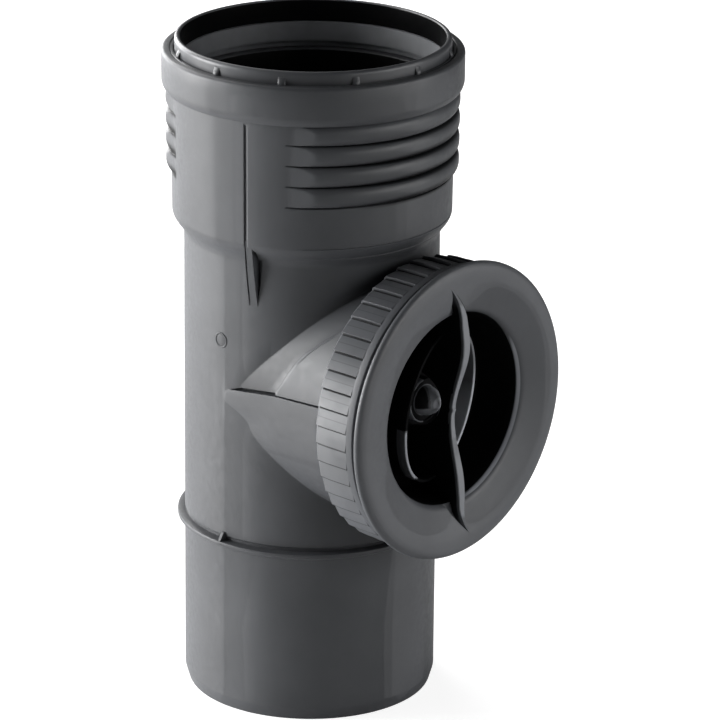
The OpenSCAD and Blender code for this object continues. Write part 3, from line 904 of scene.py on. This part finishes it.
    def _mould_mark(self, side: Side, finish: Finish) -> Piece:
        """The round mark on each side of the barrel: a low disc with a raised rim; the tones darken the disc
        a little and paint shade at the rim's foot and outer edge.

        Args:
            side: the side of the barrel.
            finish: the body's material.

        Returns:
            The finished object.
        """
        # columns: size, lift and painted-shade tone
        rows = [(0.1, 0.08, 0.12), (1.8, 0.08, 0.14), (2.15, 0.02, 0.34), (2.45, 0.2, 0.2), (2.7, 0.2, 0.1),
                (2.9, 0.02, 0.3), (2.95, -0.6, 0.3), (0.1, -0.6, 0.0)]
        size, lift, tone = np.array(rows).T[:, :, None]
        ring = np.linspace(0, 2 * math.pi, 49)[None, :-1]
        skin = Skin(f"mould_mark_{side.name.lower()}")
        skin.tube(around(self.barrel_r + lift + 0 * ring, self.mark_z + size * np.sin(ring),
                         side.value * math.radians(self.mark_turn) + size * np.cos(ring) / self.barrel_r))
        # painted shade: the rows' tones, and a faint one on the end caps
        shade = np.concatenate([(tone + 0 * ring).ravel(), np.full(2 * 49, 0.12)])
        return skin.make(finish, "pipe", "body_plastic", tone=shade)

    def _gaps(self) -> Skin:
        """The shadow gaps as cutters: the parting slot on both sides and the gap beside each web.

        Returns:
            A skin of closed shapes.
        """
        skin = Skin("shadow_gaps")
        reach = np.concatenate([[2.95, 4, 6, 8], np.arange(10, 24, 2), [24.1, 24.3], np.arange(26, 47, 3),
                                [47.5]])
        low, high = np.interp(reach, *self.lip_line), np.interp(reach, *self.slot_line)
        low, high = self.branch_z + low, self.branch_z + np.maximum(high, low + 0.05)
        floor = np.interp(reach, *self.slot_floor)
        height = np.array([174.7, 171.1, 171.0, 167.0, 162.0, 156.2])
        width = np.array([0.95, 0.95, 2.15, 1.75, 1.15, 0.15])
        outside, gap_in, gap_out = 46.5, 43.0, 51.0
        near = np.interp(height, (154.6, 173.0), (-71.6, -72.2))
        for side in Side:
            out, deep = 0 * reach + side.value * outside, side.value * floor
            slot = ((out, low), (deep, low), (deep, high), (out, high))
            skin.prism(*(np.stack((reach, y, z), -1) for y, z in slot))
            start, stop = np.radians(near), np.radians(near) + width / self.barrel_r
            gap = ((gap_out, start), (gap_in, start), (gap_in, stop), (gap_out, stop))
            skin.prism(*(around(radius, height, -side.value * turn) for radius, turn in gap))
        return skin

    def build(self) -> Piece:
        """Builds the pipe in one closed mesh, and the mould marks on it.

        Returns:
            The pipe.
        """
        foot, top = self._outside_low(), self._outside_high()
        self._inside(top, foot)
        self._branch()
        self._marks()
        mat = self.finish.material()
        for side in Side:
            self._mould_mark(side, mat)
        pipe = self.skin.make(mat, "pipe", "body_plastic", sharp=28, cut=self._gaps())
        self._shade(pipe.data)
        return pipe

    def _shade(self, mesh: bpy.types.Mesh) -> None:
        """Paints shade by tones: in the ridges' creases, as a shadow on the barrel just over the branch, and
        over the lamp's highlight on the branch's band.

        A crease's painted shade widens from the pad's left end to its middle. Over the branch the painted
        shadow falls off with the height over the branch's outline.

        Args:
            mesh: the finished pipe.
        """
        spot = np.empty(len(mesh.vertices) * 3)
        mesh.vertices.foreach_get("co", spot)
        x, y, z = spot.reshape(-1, 3).T / MM
        turn, radius = np.degrees(np.arctan2(y, x)), np.hypot(x, y)
        count = (self.ridge_top_z - z) / self.ridge_pitch
        front = np.mod(turn + 90, 180) - 90
        on_pad = (count > 0.3) & (count < self.ridge_n + 0.3) & (radius > self.socket_r - 0.7)
        above = np.mod(1 - np.mod(count, 1.0), 1.0) * self.ridge_pitch
        wide = 0.35 + 2.3 * soft_step(front, -55, 20)
        below = np.mod(count, 1.0) * self.ridge_pitch
        # painted shade in the creases between the ridges
        crease = 1 - soft_step(np.minimum(above / wide, 2.2 * below / wide), 0.35, 1.3)
        crease = np.where(on_pad & (count > 0.97) & (np.abs(front) < self.pad_half), crease, 0.0)
        # painted shadow on the barrel just over the branch
        over = z - self.branch_z - np.sqrt(np.maximum(self.upper_r ** 2 - y ** 2, 0))
        near = (x > 0) & (over > -0.3) & (z < 172) & (np.abs(radius - self.barrel_r) < 0.8)
        shadow = np.where(near, np.exp(-(np.maximum(over, 0) / 6.0) ** 2) * soft_step(turn, -50, -5), 0.0)
        off_axis = np.hypot(y, z - self.branch_z)
        band = (np.abs(off_axis - self.band_r) < 0.2) & (x > 4) & (x < self.shoulder_x - 1)
        # sheen: painted shade that dims the lamp's highlight on the band's lower part
        sheen = np.where(band & (z > self.branch_z + 4), 1 - soft_step(z - self.branch_z, 14, 30), 0.0)
        tone = np.maximum(np.maximum(0.92 * crease, 0.9 * shadow), 0.3 * sheen)
        layer = mesh.attributes.get(TONE) or mesh.attributes.new(TONE, "FLOAT", "POINT")
        layer.data.foreach_set("value", tone)


@dataclass
class Web:
    """A web from the flare down the barrel, with a shadow line along its outer edge."""

    side: Side
    turn: float = 73.4
    top_z: float = 178.6
    low_z: float = 153.4
    top_r: float = 49.1
    low_r: float = 44.9
    inner_r: float = 43.5
    half_w: float = 1.6

    def build(self, finish: Finish) -> Piece:
        """Sweeps the web's cross-section down the barrel.

        The outer radius falls in a straight line from top_r to low_r, slightly bulged by a sine.

        Args:
            finish: the material.

        Returns:
            The finished object.
        """
        share = np.linspace(0, 1, 14)[:, None]
        height = self.top_z + (self.low_z - self.top_z) * share
        edge = self.top_r + (self.low_r - self.top_r) * share + 0.35 * np.sin(math.pi * share)
        w = self.half_w
        right = np.interp(height, (154.6, 173.0), (1.35, 0.98))
        left = np.array([-w - .7, -w - .7, -w - .62, -w - .3, -w - .28, -w + .2, -w + .22])
        across = np.concatenate([left + 0 * height, right - .12, right, right], axis=1)
        buried = self.top_r
        depth = np.array([buried, .12, .0, .0, 1.1, 1.1, .0, .0, .12, buried])
        if self.side is Side.RIGHT:
            across, depth = -across[:, ::-1], depth[::-1]
        radius = np.maximum(edge - depth[None, :], self.inner_r)
        skin = Skin(f"web_{self.side.name.lower()}")
        skin.tube(beside(radius, across, height, math.radians(self.side.value * self.turn)))
        return skin.make(finish, "pipe", "body_plastic", sharp=25)


# ---- ring and seals -------------------------------------------------------------------------


@dataclass
class RetainingRing:
    """The snap ring that closes the chamber: a smooth rim on a foot, with gussets between."""

    finish: MouldedPlastic
    bore_r: float = 46.2
    foot_r: float = 49.6
    foot_z: float = 231.7
    shoulder_z: float = 235.3
    rim_r: float = 48.2
    gussets: int = 12

    def build(self) -> Piece:
        """Turns the ring's profile and stands a small rounded gusset at each twelfth of a turn.

        Returns:
            The finished object.
        """
        turn = np.linspace(0, 2 * math.pi, 361)[:-1]
        bore, foot, rim = self.bore_r, self.foot_r, self.rim_r
        low, s = self.foot_z, self.shoulder_z
        profile = [
            (bore, low + .2), (bore + .2, low), (foot - .2, low), (foot, low + .2), (foot, s - 0.3),
            (foot - .15, s - 0.12), (rim + .5, s - 0.1), (rim + .38, s - 0.3), (rim + .34, s - 1.7),
            (rim + .02, s - 1.75), (rim, s - 1.4), (rim, s + 2.9), (rim - .03, s + 3.3),
            (rim - .16, s + 3.72), (rim - .4, s + 4.08), (rim - .72, s + 4.32), (rim - 1.0, s + 4.4),
            (bore + .55, s + 4.4), (bore + .22, s + 4.28), (bore + .05, s + 4.0), (bore, s + 3.6), (bore, s)]
        skin = Skin("snap_ring")
        skin.torus(turned(profile, turn))
        for step in range(self.gussets):
            self._gusset(skin, 2 * math.pi * step / self.gussets)
        return skin.make(self.finish.material(), "pipe", "ring_plastic", sharp=32)

    def _gusset(self, skin: Skin, angle: float) -> None:
        """Adds one gusset: a half-round rib from the foot to the rim, sloping back as it rises.

        Args:
            skin: the ring's skin.
            angle: its place about the pipe.
        """
        bend = np.linspace(-math.pi / 2, math.pi / 2, 9)
        share = np.linspace(0, 1, 7)[:, None]
        height = self.shoulder_z - 1.0 + 3.4 * share
        foot = self.rim_r - 0.6
        reach = self.rim_r + 1.15 - 0.95 * soft_step(share, 0.45, 1.0)
        radius = foot + (reach - self.rim_r + 0.6) * (0.35 + 0.65 * np.cos(bend) ** 0.5)[None, :]
        across = 1.35 * np.sin(bend)[None, :]
        skin.tube(beside(radius, across, height, angle))


@dataclass
class Seals:
    """The two rubber seals: the lip ring in the chamber and the flat ring with a lip under the cap."""

    finish: SealRubber
    branch_z: float = 118.5

    def build(self) -> list[Piece]:
        """Turns both profiles.

        Returns:
            The lip ring and the cap seal.
        """
        mat = self.finish.material()
        turn = np.linspace(0, 2 * math.pi, 241)[:-1]
        lip = [
            (46.45, 231.5), (46.1, 231.3), (45.38, 225.6), (45.3, 225.1), (45.38, 224.6), (45.62, 224.35),
            (46.0, 224.35), (46.3, 224.6), (47.25, 227.9), (47.4, 227.4), (47.4, 222.3), (47.6, 222.1),
            (49.35, 222.1), (49.55, 222.3), (49.55, 231.3), (49.35, 231.5)]
        flat = [
            (36.7, 66.0), (36.5, 65.8), (36.5, 57.2), (36.7, 57.0), (38.4, 57.0), (38.6, 57.1), (39.45, 58.9),
            (39.5, 59.2), (39.5, 64.1), (39.7, 64.3), (42.7, 64.3), (42.9, 64.5), (42.9, 65.8), (42.7, 66.0)]
        ring, cap = Skin("lip_ring"), Skin("cap_ring_seal")
        ring.torus(turned(lip, turn))
        cap.torus(turned_branch(flat, turn, self.branch_z))
        return [ring.make(mat, "pipe", "seal_rubber"), cap.make(mat, "seal_carrier", "seal_rubber")]


# ---- screw cap ------------------------------------------------------------------------------


@dataclass
class ScrewCap:
    """The screw cap: toothed skirt, dished flange, cup with nub and oval collar, and the grip bar.

    The rows of tooth are its share of the pitch, its height and its painted-shade tones on the upper and
    the lower half. The rows of skirt are reach, radius and how far the teeth have grown. The face is
    made of pairs of radius and reach.
    """

    finish: MouldedPlastic
    branch_z: float = 118.5
    teeth: int = 48
    face_x: float = 70.6
    under_x: float = 66.3
    bore_r: float = 45.4
    tooth_h: float = 1.15
    thread_out: float = 1.7
    thread_span: tuple[float, float] = (49.2, 64.8)
    recess_r: float = 33.6
    floor_x: float = 48.6
    bar_half: float = 47.0
    hump_at: float = 26.0
    hump_out: float = 1.3
    saddle: float = 3.6
    sway: float = 1.5
    hook: float = 5.7
    oval_long: float = 28.0
    oval_short: float = 17.0
    oval_tilt: float = 19.0
    nub_foot_x: float = 53.5
    nub_out: float = 7.3
    nub_r: float = 5.3
    # negative tones: painted highlights on the nub's tip, the boss's edge, the recess's rim and the bar's
    # crest
    nub_tip_highlight: float = -2.2
    boss_edge_highlight: float = -2.4
    recess_rim_highlight: float = -2.3
    crest_highlight: float = -1.35
    skirt_end_x: float = 62.8
    tooth: Line = ((0.0, 0.03, 0.055, 0.09, 0.115, 0.46, 0.5, 0.54, 0.915, 0.935, 0.968, 0.976, 0.986),
                   (-0.24, -0.24, 0.0, 0.06, 0.1, 0.48, 0.52, 0.56, 0.945, 0.965, 1.0, 0.97, -0.2),
                   (0.85, 0.85, 0.85, 0.75, 0, 0, 0.28, 0, 0, 0, 0, 0, 0.85),
                   (0.85, 0.85, 0.85, 0.75, 0, 0, 0, 0, 0, 0.62, 0.68, 0.7, 0.85))
    skirt: Line = ((48.0, 48.0, 48.12, 48.5, 49.2, 53.6, 58.0, 62.7, 62.85, 65.1, 65.45, 65.6),
                   (46.3, 49.1, 49.35, 49.55, 49.9, 50.1, 50.1, 50.1, 50.1, 50.1, 50.1, 50.1),
                   (0, 0, 0.3, 0.55, 0.9, 1, 1, 1, 0.8, 0.8, 0.7, 0.4))
    face: Line = ((48.6, 65.65), (48.5, 65.8), (48.5, 67.95), (48.7, 68.15), (52.5, 68.2), (52.95, 68.3),
                  (53.15, 68.6), (53.2, 69.0), (53.18, 69.4), (53.05, 69.8), (52.75, 70.2), (52.3, 70.5),
                  (51.6, 70.75), (50.4, 70.95), (49.2, 71.04), (47.8, 71.02), (46.4, 70.86), (44.8, 70.53),
                  (42.8, 70.05), (40.8, 69.55), (38.8, 69.04), (37.2, 68.62), (36.4, 68.37), (35.85, 68.1),
                  (35.4, 67.75), (35.0, 67.25), (34.7, 66.7), (34.45, 66.2), (34.36, 65.9), (34.0, 60.0),
                  (33.6, 50.2), (33.3, 49.4), (32.7, 48.8), (31.9, 48.6), (22.0, 48.6), (8.3, 48.6),
                  (8.1, 48.8), (8.05, 53.9), (7.95, 54.15), (7.75, 54.2), (7.6, 54.1), (7.5, 53.7),
                  (7.4, 53.5), (5.35, 53.5))

    def _shell(self, mat: Finish) -> Piece:
        """Turned shell: toothed skirt, flange, cup and nub in front, thread and cup behind.

        A tooth's radius rises in a straight line over most of its pitch and drops back in the rest.
        Its foot gets painted shade, and so does its crest on the lower half. A plain band lies beside the
        flange.

        Args:
            mat: the material.

        Returns:
            The finished object.
        """
        share, height, shaded_up, shaded_low = (np.array(row) for row in self.tooth)
        turn = ((np.arange(self.teeth)[:, None] + 0.5 + share[None, :]) * 2 * math.pi / self.teeth).ravel()
        xs, base, grow = (np.array(row)[:, None] for row in self.skirt)
        rise = np.where(xs > self.skirt_end_x, 1.0, np.tile(height, self.teeth)[None, :])
        skirt = round_branch(base + grow * self.tooth_h * rise, xs, turn, self.branch_z)
        nub = [(self.nub_r * (1 - s ** 2.3) ** 0.75, self.nub_foot_x + self.nub_out * s)
               for s in np.linspace(0, 1, 18)[1:-1]]
        profile = np.array(list(self.face) + nub)
        front = turned_branch(profile, turn, self.branch_z)
        inner = [(46.3, 48.0), (45.9, 48.1), (45.5, 48.5), (45.4, 49.0)]
        inner += thread_rows(self.bore_r, -self.thread_out, self.thread_span, 47, turn, 0.0)
        inner += [(45.4, 65.9), (45.0, 66.3), (36.6, 66.3), (36.2, 65.9), (36.0, 55.0), (35.8, 46.6),
                  (35.4, 46.1), (34.8, 46.0), (20.0, 46.0), (3.0, 46.0)]
        back = turned_branch(inner, turn, self.branch_z)
        skin = Skin("cap_shell")
        skin.grid(np.concatenate([skirt, front]), ring=True)
        skin.grid(back, ring=True)
        skin.fan((self.nub_foot_x + self.nub_out, 0.0, self.branch_z), front[-1])
        skin.fan((46.0, 0.0, self.branch_z), back[-1])
        # painted shade at each tooth's foot, and on its crest on the lower half
        dark = np.where(np.sin(turn) > 0.02, np.tile(shaded_up, self.teeth), np.tile(shaded_low, self.teeth))
        lines = dark[None, :] * ((xs > 49) & (xs < self.skirt_end_x))
        shade = self._front_tones(profile[:, :1], profile[:, 1:], turn)
        # tones: painted shade on the teeth, painted light and shade on the front, a painted highlight at the
        # nub's tip
        tone = np.concatenate([lines.ravel(), shade.ravel(), np.zeros(back[..., 0].size),
                               [self.nub_tip_highlight], shade[-1], np.zeros(len(turn) + 1)])
        return skin.make(mat, "cap", "cap_plastic", sharp=24, tone=tone, cut=self._notches())

    def _front_tones(self, radius: Grid, reach: Grid, turn: Grid) -> Grid:
        """Painted light on the cap's front: painted shade and highlights on the nub's sides and tip, and
        painted highlights on its boss's edge and the recess's rim.

        Args:
            radius: radii of the rows.
            reach: reaches of the rows.
            turn: angles about the branch.

        Returns:
            A tone for each point.
        """
        left, up = -np.cos(turn), np.sin(turn)
        along, high = (reach - self.nub_foot_x) / self.nub_out, radius * up
        on_nub = (radius < self.nub_r + 0.01) & (reach > 53.0)
        oval = 1 - (along / 0.72) ** 2 - (np.maximum(high, 0) / self.nub_r) ** 2
        # painted shade on the nub's shaded side; the rest of the nub gets a faint painted highlight
        dark = soft_step(oval, -0.1, 0.12) * soft_step(high + 2.05 - 1.2 * along, -0.2, 0.2)
        tone = np.where(on_nub, -1.3 + 2.25 * dark * soft_step(left, 0, 0.2), 0.0)
        # painted highlight on the left part of the boss's edge
        boss_edge = (np.abs(radius - 7.8) < 0.3) & (reach > 53.8)
        tone = np.where(boss_edge & (left > 0.15), self.boss_edge_highlight, tone)
        # painted highlight along the recess's rim on its lit side
        rim = (reach > 66.0) & (reach < 67.5) & (radius < 35.5)
        lit = soft_step(-left, -0.1, 0.4) * (1 - soft_step(up, 0.3, 0.8))
        tone = np.where(rim, self.recess_rim_highlight * lit, tone)
        # painted highlight at the nub's tip
        return np.where(on_nub & (along > 0.86) & (high > -1.2), self.nub_tip_highlight, tone)

    def _bar_mid(self, along: Grid) -> Grid:
        """Sideways place of the bar's middle line: a sine between the high points, then a hook.

        Args:
            along: distance from the branch's axis along the bar, upwards.

        Returns:
            Places along Y; the hook grows with the square of the way past the sine's end.
        """
        turn_at = self.hump_at + 6
        wave = self.sway * np.sin(math.pi * along / turn_at) * (np.abs(along) < turn_at)
        past = np.maximum(0, np.abs(along) - turn_at) / (self.bar_half - turn_at)
        return wave - np.sign(along) * self.hook * past ** 2 * np.where(along > 0, 1.3, 0.95)

    def _bar_half_w(self, along: Grid) -> Grid:
        """Half width of the crest: a waist in the middle, leaves at the high points, pointed ends.

        Args:
            along: distance from the branch's axis along the bar, upwards.

        Returns:
            Half widths; the waist grows with a sine squared, the ends narrow with a cosine.
        """
        rise, past = self._bar_shares(along)
        return np.where(np.abs(along) < self.hump_at, 0.95 + 0.7 * rise,
                        0.22 + 1.43 * np.cos(0.5 * math.pi * past) ** 1.2)

    def _bar_shares(self, along: Grid) -> tuple[Grid, Grid]:
        """Rise from the bar's middle to its high points, and share of the way from there to its ends."""
        rise = np.sin(0.5 * math.pi * np.minimum(np.abs(along) / self.hump_at, 1)) ** 2
        return rise, np.clip((np.abs(along) - self.hump_at) / (self.bar_half - self.hump_at), 0, 1)

    def _bar_crest(self, along: Grid) -> Grid:
        """Reach of the crest: low in the middle, highest at the two high points, level at the ends.

        Args:
            along: distance from the branch's axis along the bar, upwards.

        Returns:
            Reaches, rising with a sine squared and falling with a cosine squared.
        """
        rise, past = self._bar_shares(along)
        inner = self.face_x - self.saddle + (self.saddle + self.hump_out) * rise
        inner = inner + 0.45 * np.exp(-((along + 0.4) / 0.8) ** 2)
        return np.where(np.abs(along) < self.hump_at, inner,
                        self.face_x + 0.35 + (self.hump_out - 0.35) * np.cos(0.5 * math.pi * past) ** 2)

    def _bar_foot(self, along: Grid) -> Grid:
        """Reach of the bar's lower edge: the arch over the nub, the cup's floor, then the flange.

        Args:
            along: distance from the branch's axis along the bar, upwards.

        Returns:
            Reaches; the arch is half an ellipse.
        """
        arch = self.floor_x - 1 + 14.2 * np.sqrt(np.maximum(0, 1 - (along / 10.0) ** 2))
        foot = np.maximum(self.floor_x - 0.4, arch)
        out = soft_step(np.abs(along), self.recess_r + 0.3, self.recess_r + 1.6)
        return foot + (self.under_x + 0.8 - foot) * out

    def _bar(self, mat: Finish) -> Piece:
        """Sweeps the bar's cross-section, a narrow web under a flat-topped crest, along the S.

        Args:
            mat: the material.

        Returns:
            The finished object.
        """
        along = np.concatenate([np.linspace(-self.bar_half, -12, 40), np.linspace(-11.5, 11.5, 42),
                                np.linspace(12, self.bar_half, 40)])[:, None]
        half, crest, foot = self._bar_half_w(along), self._bar_crest(along), self._bar_foot(along)
        web, top = np.minimum(half, 0.8), half * 0.86
        across = np.concatenate([-web, -web, -half, -half, -top, top, half, half, web, web], axis=1)
        below = np.array([np.inf, 4.2, 1.6, 0.28, 0, 0, 0.28, 1.6, 4.2, np.inf])
        reach = np.maximum(crest - below[None, :], foot)
        points = np.stack([reach, self._bar_mid(along) + across, self.branch_z + along + 0 * across], axis=-1)
        skin = Skin("grip_bar")
        skin.tube(points)
        # painted shade on the bar's sides and a painted highlight on its crest, fading out towards the ends
        tone = np.array([1.0] * 3 + [self.crest_highlight] * 4 + [1.0] * 3)
        tone = (tone * (1 - soft_step(np.abs(along), 38, 44))).ravel()
        tone = np.concatenate([tone, np.zeros(2 * points.shape[1] + 2)])
        return skin.make(mat, "cap", "cap_plastic", sharp=26, tone=tone)

    def _oval(self, mat: Finish) -> Piece:
        """Thin oval wall: an ellipse turned by oval_tilt, swept round a rounded upright profile, with painted
        light on the inner face of its +Y side and on a sliver of its outer face on the -Y side.

        Args:
            mat: the material.

        Returns:
            The finished object.
        """
        turn = np.linspace(0, 2 * math.pi, 181)[:-1]
        profile = np.array([(0.0, 48.2), (0.0, 56.9), (0.0, 57.6), (0.0, 60.6), (0.15, 60.9), (0.4, 61.0),
                            (0.9, 61.0), (1.15, 60.9), (1.3, 60.6), (1.3, 48.2)])
        inset, reach = profile[:, :1], profile[:, 1:]
        side, tall = (self.oval_short - inset) * np.cos(turn), (self.oval_long - inset) * np.sin(turn)
        tilt = -math.radians(self.oval_tilt)
        y, z = side * math.cos(tilt) - tall * math.sin(tilt), side * math.sin(tilt) + tall * math.cos(tilt)
        skin = Skin("oval_collar")
        skin.torus(np.stack([np.broadcast_to(reach, y.shape), y, self.branch_z + z], axis=-1))
        row = np.arange(len(profile))[:, None]
        # painted light: the inner face on the +Y side and a sliver of the outer face are lifted paler
        lens = np.where((y > 2) & (z < 22), -1.5 - 1.3 * soft_step(-z, -14, 10), 0.0)
        sliver = np.where((y < -3) & (z < -4.8) & (z > -24.0), -1.9, 0.0)
        tone = np.where(row > 5, lens, np.where(row > 1, sliver, 0.0))
        tone = np.where((row > 3) & (row < 8), np.minimum(lens, sliver) * 1.4, tone)
        tone = np.concatenate([tone, tone[:1]]).ravel()
        return skin.make(mat, "cap", "cap_plastic", sharp=35, tone=tone)

    def _notches(self) -> Skin:
        """The four wedges beside the bar's ends, which deepen with the cube of the way out.

        Returns:
            A skin of closed shapes.
        """
        skin = Skin("notch_cutter")
        start, stop = self.recess_r - 3.5, self.bar_half - 1.2
        along = np.linspace(start, stop, 12)
        past, fall = np.maximum(0, along - 36), 1 - (along - start) / (stop - start)
        depth = self.under_x + 0.2 + 0.24 * past + 1.95 * (past / 9.8) ** 3
        top = np.full_like(along, self.face_x + 3.4)
        half = self._bar_half_w(along)
        for end in (-1, 1):
            mid, up = self._bar_mid(end * along), self.branch_z + end * along
            for side in (-1, 1):
                near, far = mid + side * half * 0.3, mid + side * (half * 0.8 + 5.4 * fall ** 1.15 + 0.05)
                wedge = ((depth, near), (depth, far), (top, far), (top, near))
                skin.prism(*(np.stack([x, y, up], -1) for x, y in wedge))
        return skin

    def build(self) -> list[Piece]:
        """Builds the cap's pieces.

        Returns:
            Shell, bar and oval collar.
        """
        mat = self.finish.material()
        return [self._shell(mat), self._bar(mat), self._oval(mat)]


# ---- studio ---------------------------------------------------------------------------------


@dataclass
class Studio:
    """Pale floor, soft boxes and the camera."""

    cam_at: tuple[float, float, float] = (0.0, -1.5, 0.6606)
    turned: float = 42.61
    pitch: float = 19.82
    yaw: float = 0.66
    roll: float = 0.58
    lens: float = 224.5

    def camera(self) -> None:
        """Places the camera: pitch, yaw and roll about its place, all turned round the pipe."""
        yaw, pitch, roll = map(math.radians, (self.yaw, self.pitch, self.roll))
        ahead = Vector((math.sin(yaw) * math.cos(pitch), math.cos(yaw) * math.cos(pitch), -math.sin(pitch)))
        right = Vector((math.cos(yaw), -math.sin(yaw), 0))
        above = right.cross(ahead)
        right, above = (right * math.cos(roll) + above * math.sin(roll),
                        above * math.cos(roll) - right * math.sin(roll))
        basis = Matrix((right, above, -ahead)).transposed().to_4x4()
        data = bpy.data.cameras.new("camera")
        data.lens, data.sensor_width = self.lens, 36.0
        data.clip_start, data.clip_end = 0.05, 50.0
        cam = bpy.data.objects.new("camera", data)
        cam.matrix_world = Matrix.Rotation(math.radians(self.turned), 4, "Z") @ (
            Matrix.Translation(Vector(self.cam_at)) @ basis)
        bpy.context.collection.objects.link(cam)
        bpy.context.scene.camera = cam

    def floor(self) -> None:
        """Pale floor: keeps the object's shadow, is white to the camera and lets low lamps through."""
        mesh = bpy.data.meshes.new("floor")
        mesh.from_pydata([(-9, -9, 0), (9, -9, 0), (9, 9, 0), (-9, 9, 0)], [], [(0, 1, 2, 3)])
        mat, bench, shader = new_material("pale_floor")
        bench.feed(shader, {"Base Color": (0.55, 0.55, 0.55, 1), "Roughness": 0.9, "Specular IOR Level": 0.0})
        level = bench.math("MULTIPLY", bench.add("LightPath")["Is Camera Ray"], 0.84)
        glow = bench.add("Emission", {"Strength": level})["Emission"]
        both = bench.add("AddShader", {0: shader.outputs["BSDF"], 1: glow})["Shader"]
        bench.feed(mat.node_tree.nodes["Material Output"], {"Surface": both})
        plane = bpy.data.objects.new("floor", mesh)
        bpy.context.collection.objects.link(plane)
        mesh.materials.append(mat)
        plane.visible_shadow = False

    def world(self) -> None:
        """White surroundings for the camera, and a dim even light for everything else."""
        world = bpy.data.worlds.new("studio")
        bpy.context.scene.world = world
        world.use_nodes = True
        bench = Bench(world.node_tree)
        level = bench.remap(bench.add("LightPath")["Is Camera Ray"], 0.02, 1.0)
        bench.feed(world.node_tree.nodes["Background"], {"Strength": level, "Color": (1, 1, 1, 1)})

    def lamp(self, name: str, azimuth: float, height: float, away: float, size: tuple[float, float],
             power: float) -> None:
        """Adds one soft box that looks at the object's middle.

        Args:
            name: the lamp's name.
            azimuth: degrees to the right of the camera, as seen from above, 0 at the camera.
            height: height of its centre in metres.
            away: distance from the pipe's axis.
            size: width and height of the box.
            power: watts.
        """
        data = bpy.data.lights.new(name, "AREA")
        data.shape, data.size, data.size_y, data.energy = "RECTANGLE", size[0], size[1], power
        lamp = bpy.data.objects.new(name, data)
        turn = math.radians(azimuth + self.turned - 90)
        place = Vector((away * math.cos(turn), away * math.sin(turn), height))
        lamp.location = place
        lamp.rotation_euler = (Vector((0, 0, 0.12)) - place).to_track_quat("-Z", "Y").to_euler()
        bpy.context.collection.objects.link(lamp)

    def build(self) -> None:
        """Sets the whole studio."""
        scene = bpy.context.scene
        scene.view_settings.view_transform = "Standard"
        self.camera()
        self.floor()
        self.world()
        tall, wide = (1.0, 1.7), (1.0, 0.8)
        for name, azimuth, height, away, size, power in (
                ("left_box", -96, 0.0, 1.5, tall, 70), ("high_left_box", -80, 0.90, 1.3, wide, 4),
                ("back_left_box", -145, 0.10, 1.5, tall, 36), ("high_back_box", -150, 1.00, 1.2, wide, 9),
                ("right_box", 78, 0.10, 1.5, tall, 13), ("front_right_box", 52, 0.10, 1.5, tall, 7.5)):
            self.lamp(name, azimuth, height, away, size, power)


def main() -> None:
    """Builds the object and the studio."""
    logging.basicConfig(level=logging.INFO, format="%(name)s: %(message)s")
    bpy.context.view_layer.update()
    # painted shade inside the socket's mouth and bore
    mouth = PaintedShadeWell(Axis.PIPE, outer_r=45.62, reach=221.25, start=176.0)
    satin = MouldedPlastic("anthracite_body", (0.0672, 0.0702, 0.0762), well=mouth)
    pipe = PipeBody(satin).build()
    webs = [Web(side).build(pipe.data.materials[0]) for side in Side]
    # painted shade on the snap ring's inner wall
    rim = PaintedShadeWell(Axis.PIPE, outer_r=46.4, reach=239.3, start=230.0)
    glossy = MouldedPlastic("anthracite_ring", (0.073, 0.076, 0.082), roughness=0.33, well=rim)
    ring = RetainingRing(glossy).build()
    lip, cap_seal = Seals(SealRubber("seal_rubber")).build()
    # painted shade in the cap's recess, clear round the nub
    cup = PaintedShadeWell(Axis.BRANCH, outer_r=34.55, reach=66.7, start=48.0, inner_r=5.6, centre_z=118.5)
    cap = ScrewCap(MouldedPlastic("anthracite_cap", (0.0890, 0.0930, 0.1010), well=cup)).build()
    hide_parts("pipe_body")
    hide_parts("retaining_ring")
    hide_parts("socket_seal")
    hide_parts("cap_seal")
    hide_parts("screw_cap")
    LOG.info("webs: %d, cap pieces: %d", len(webs), len(cap))
    Studio().build()


if __name__ == "__main__":
    main()
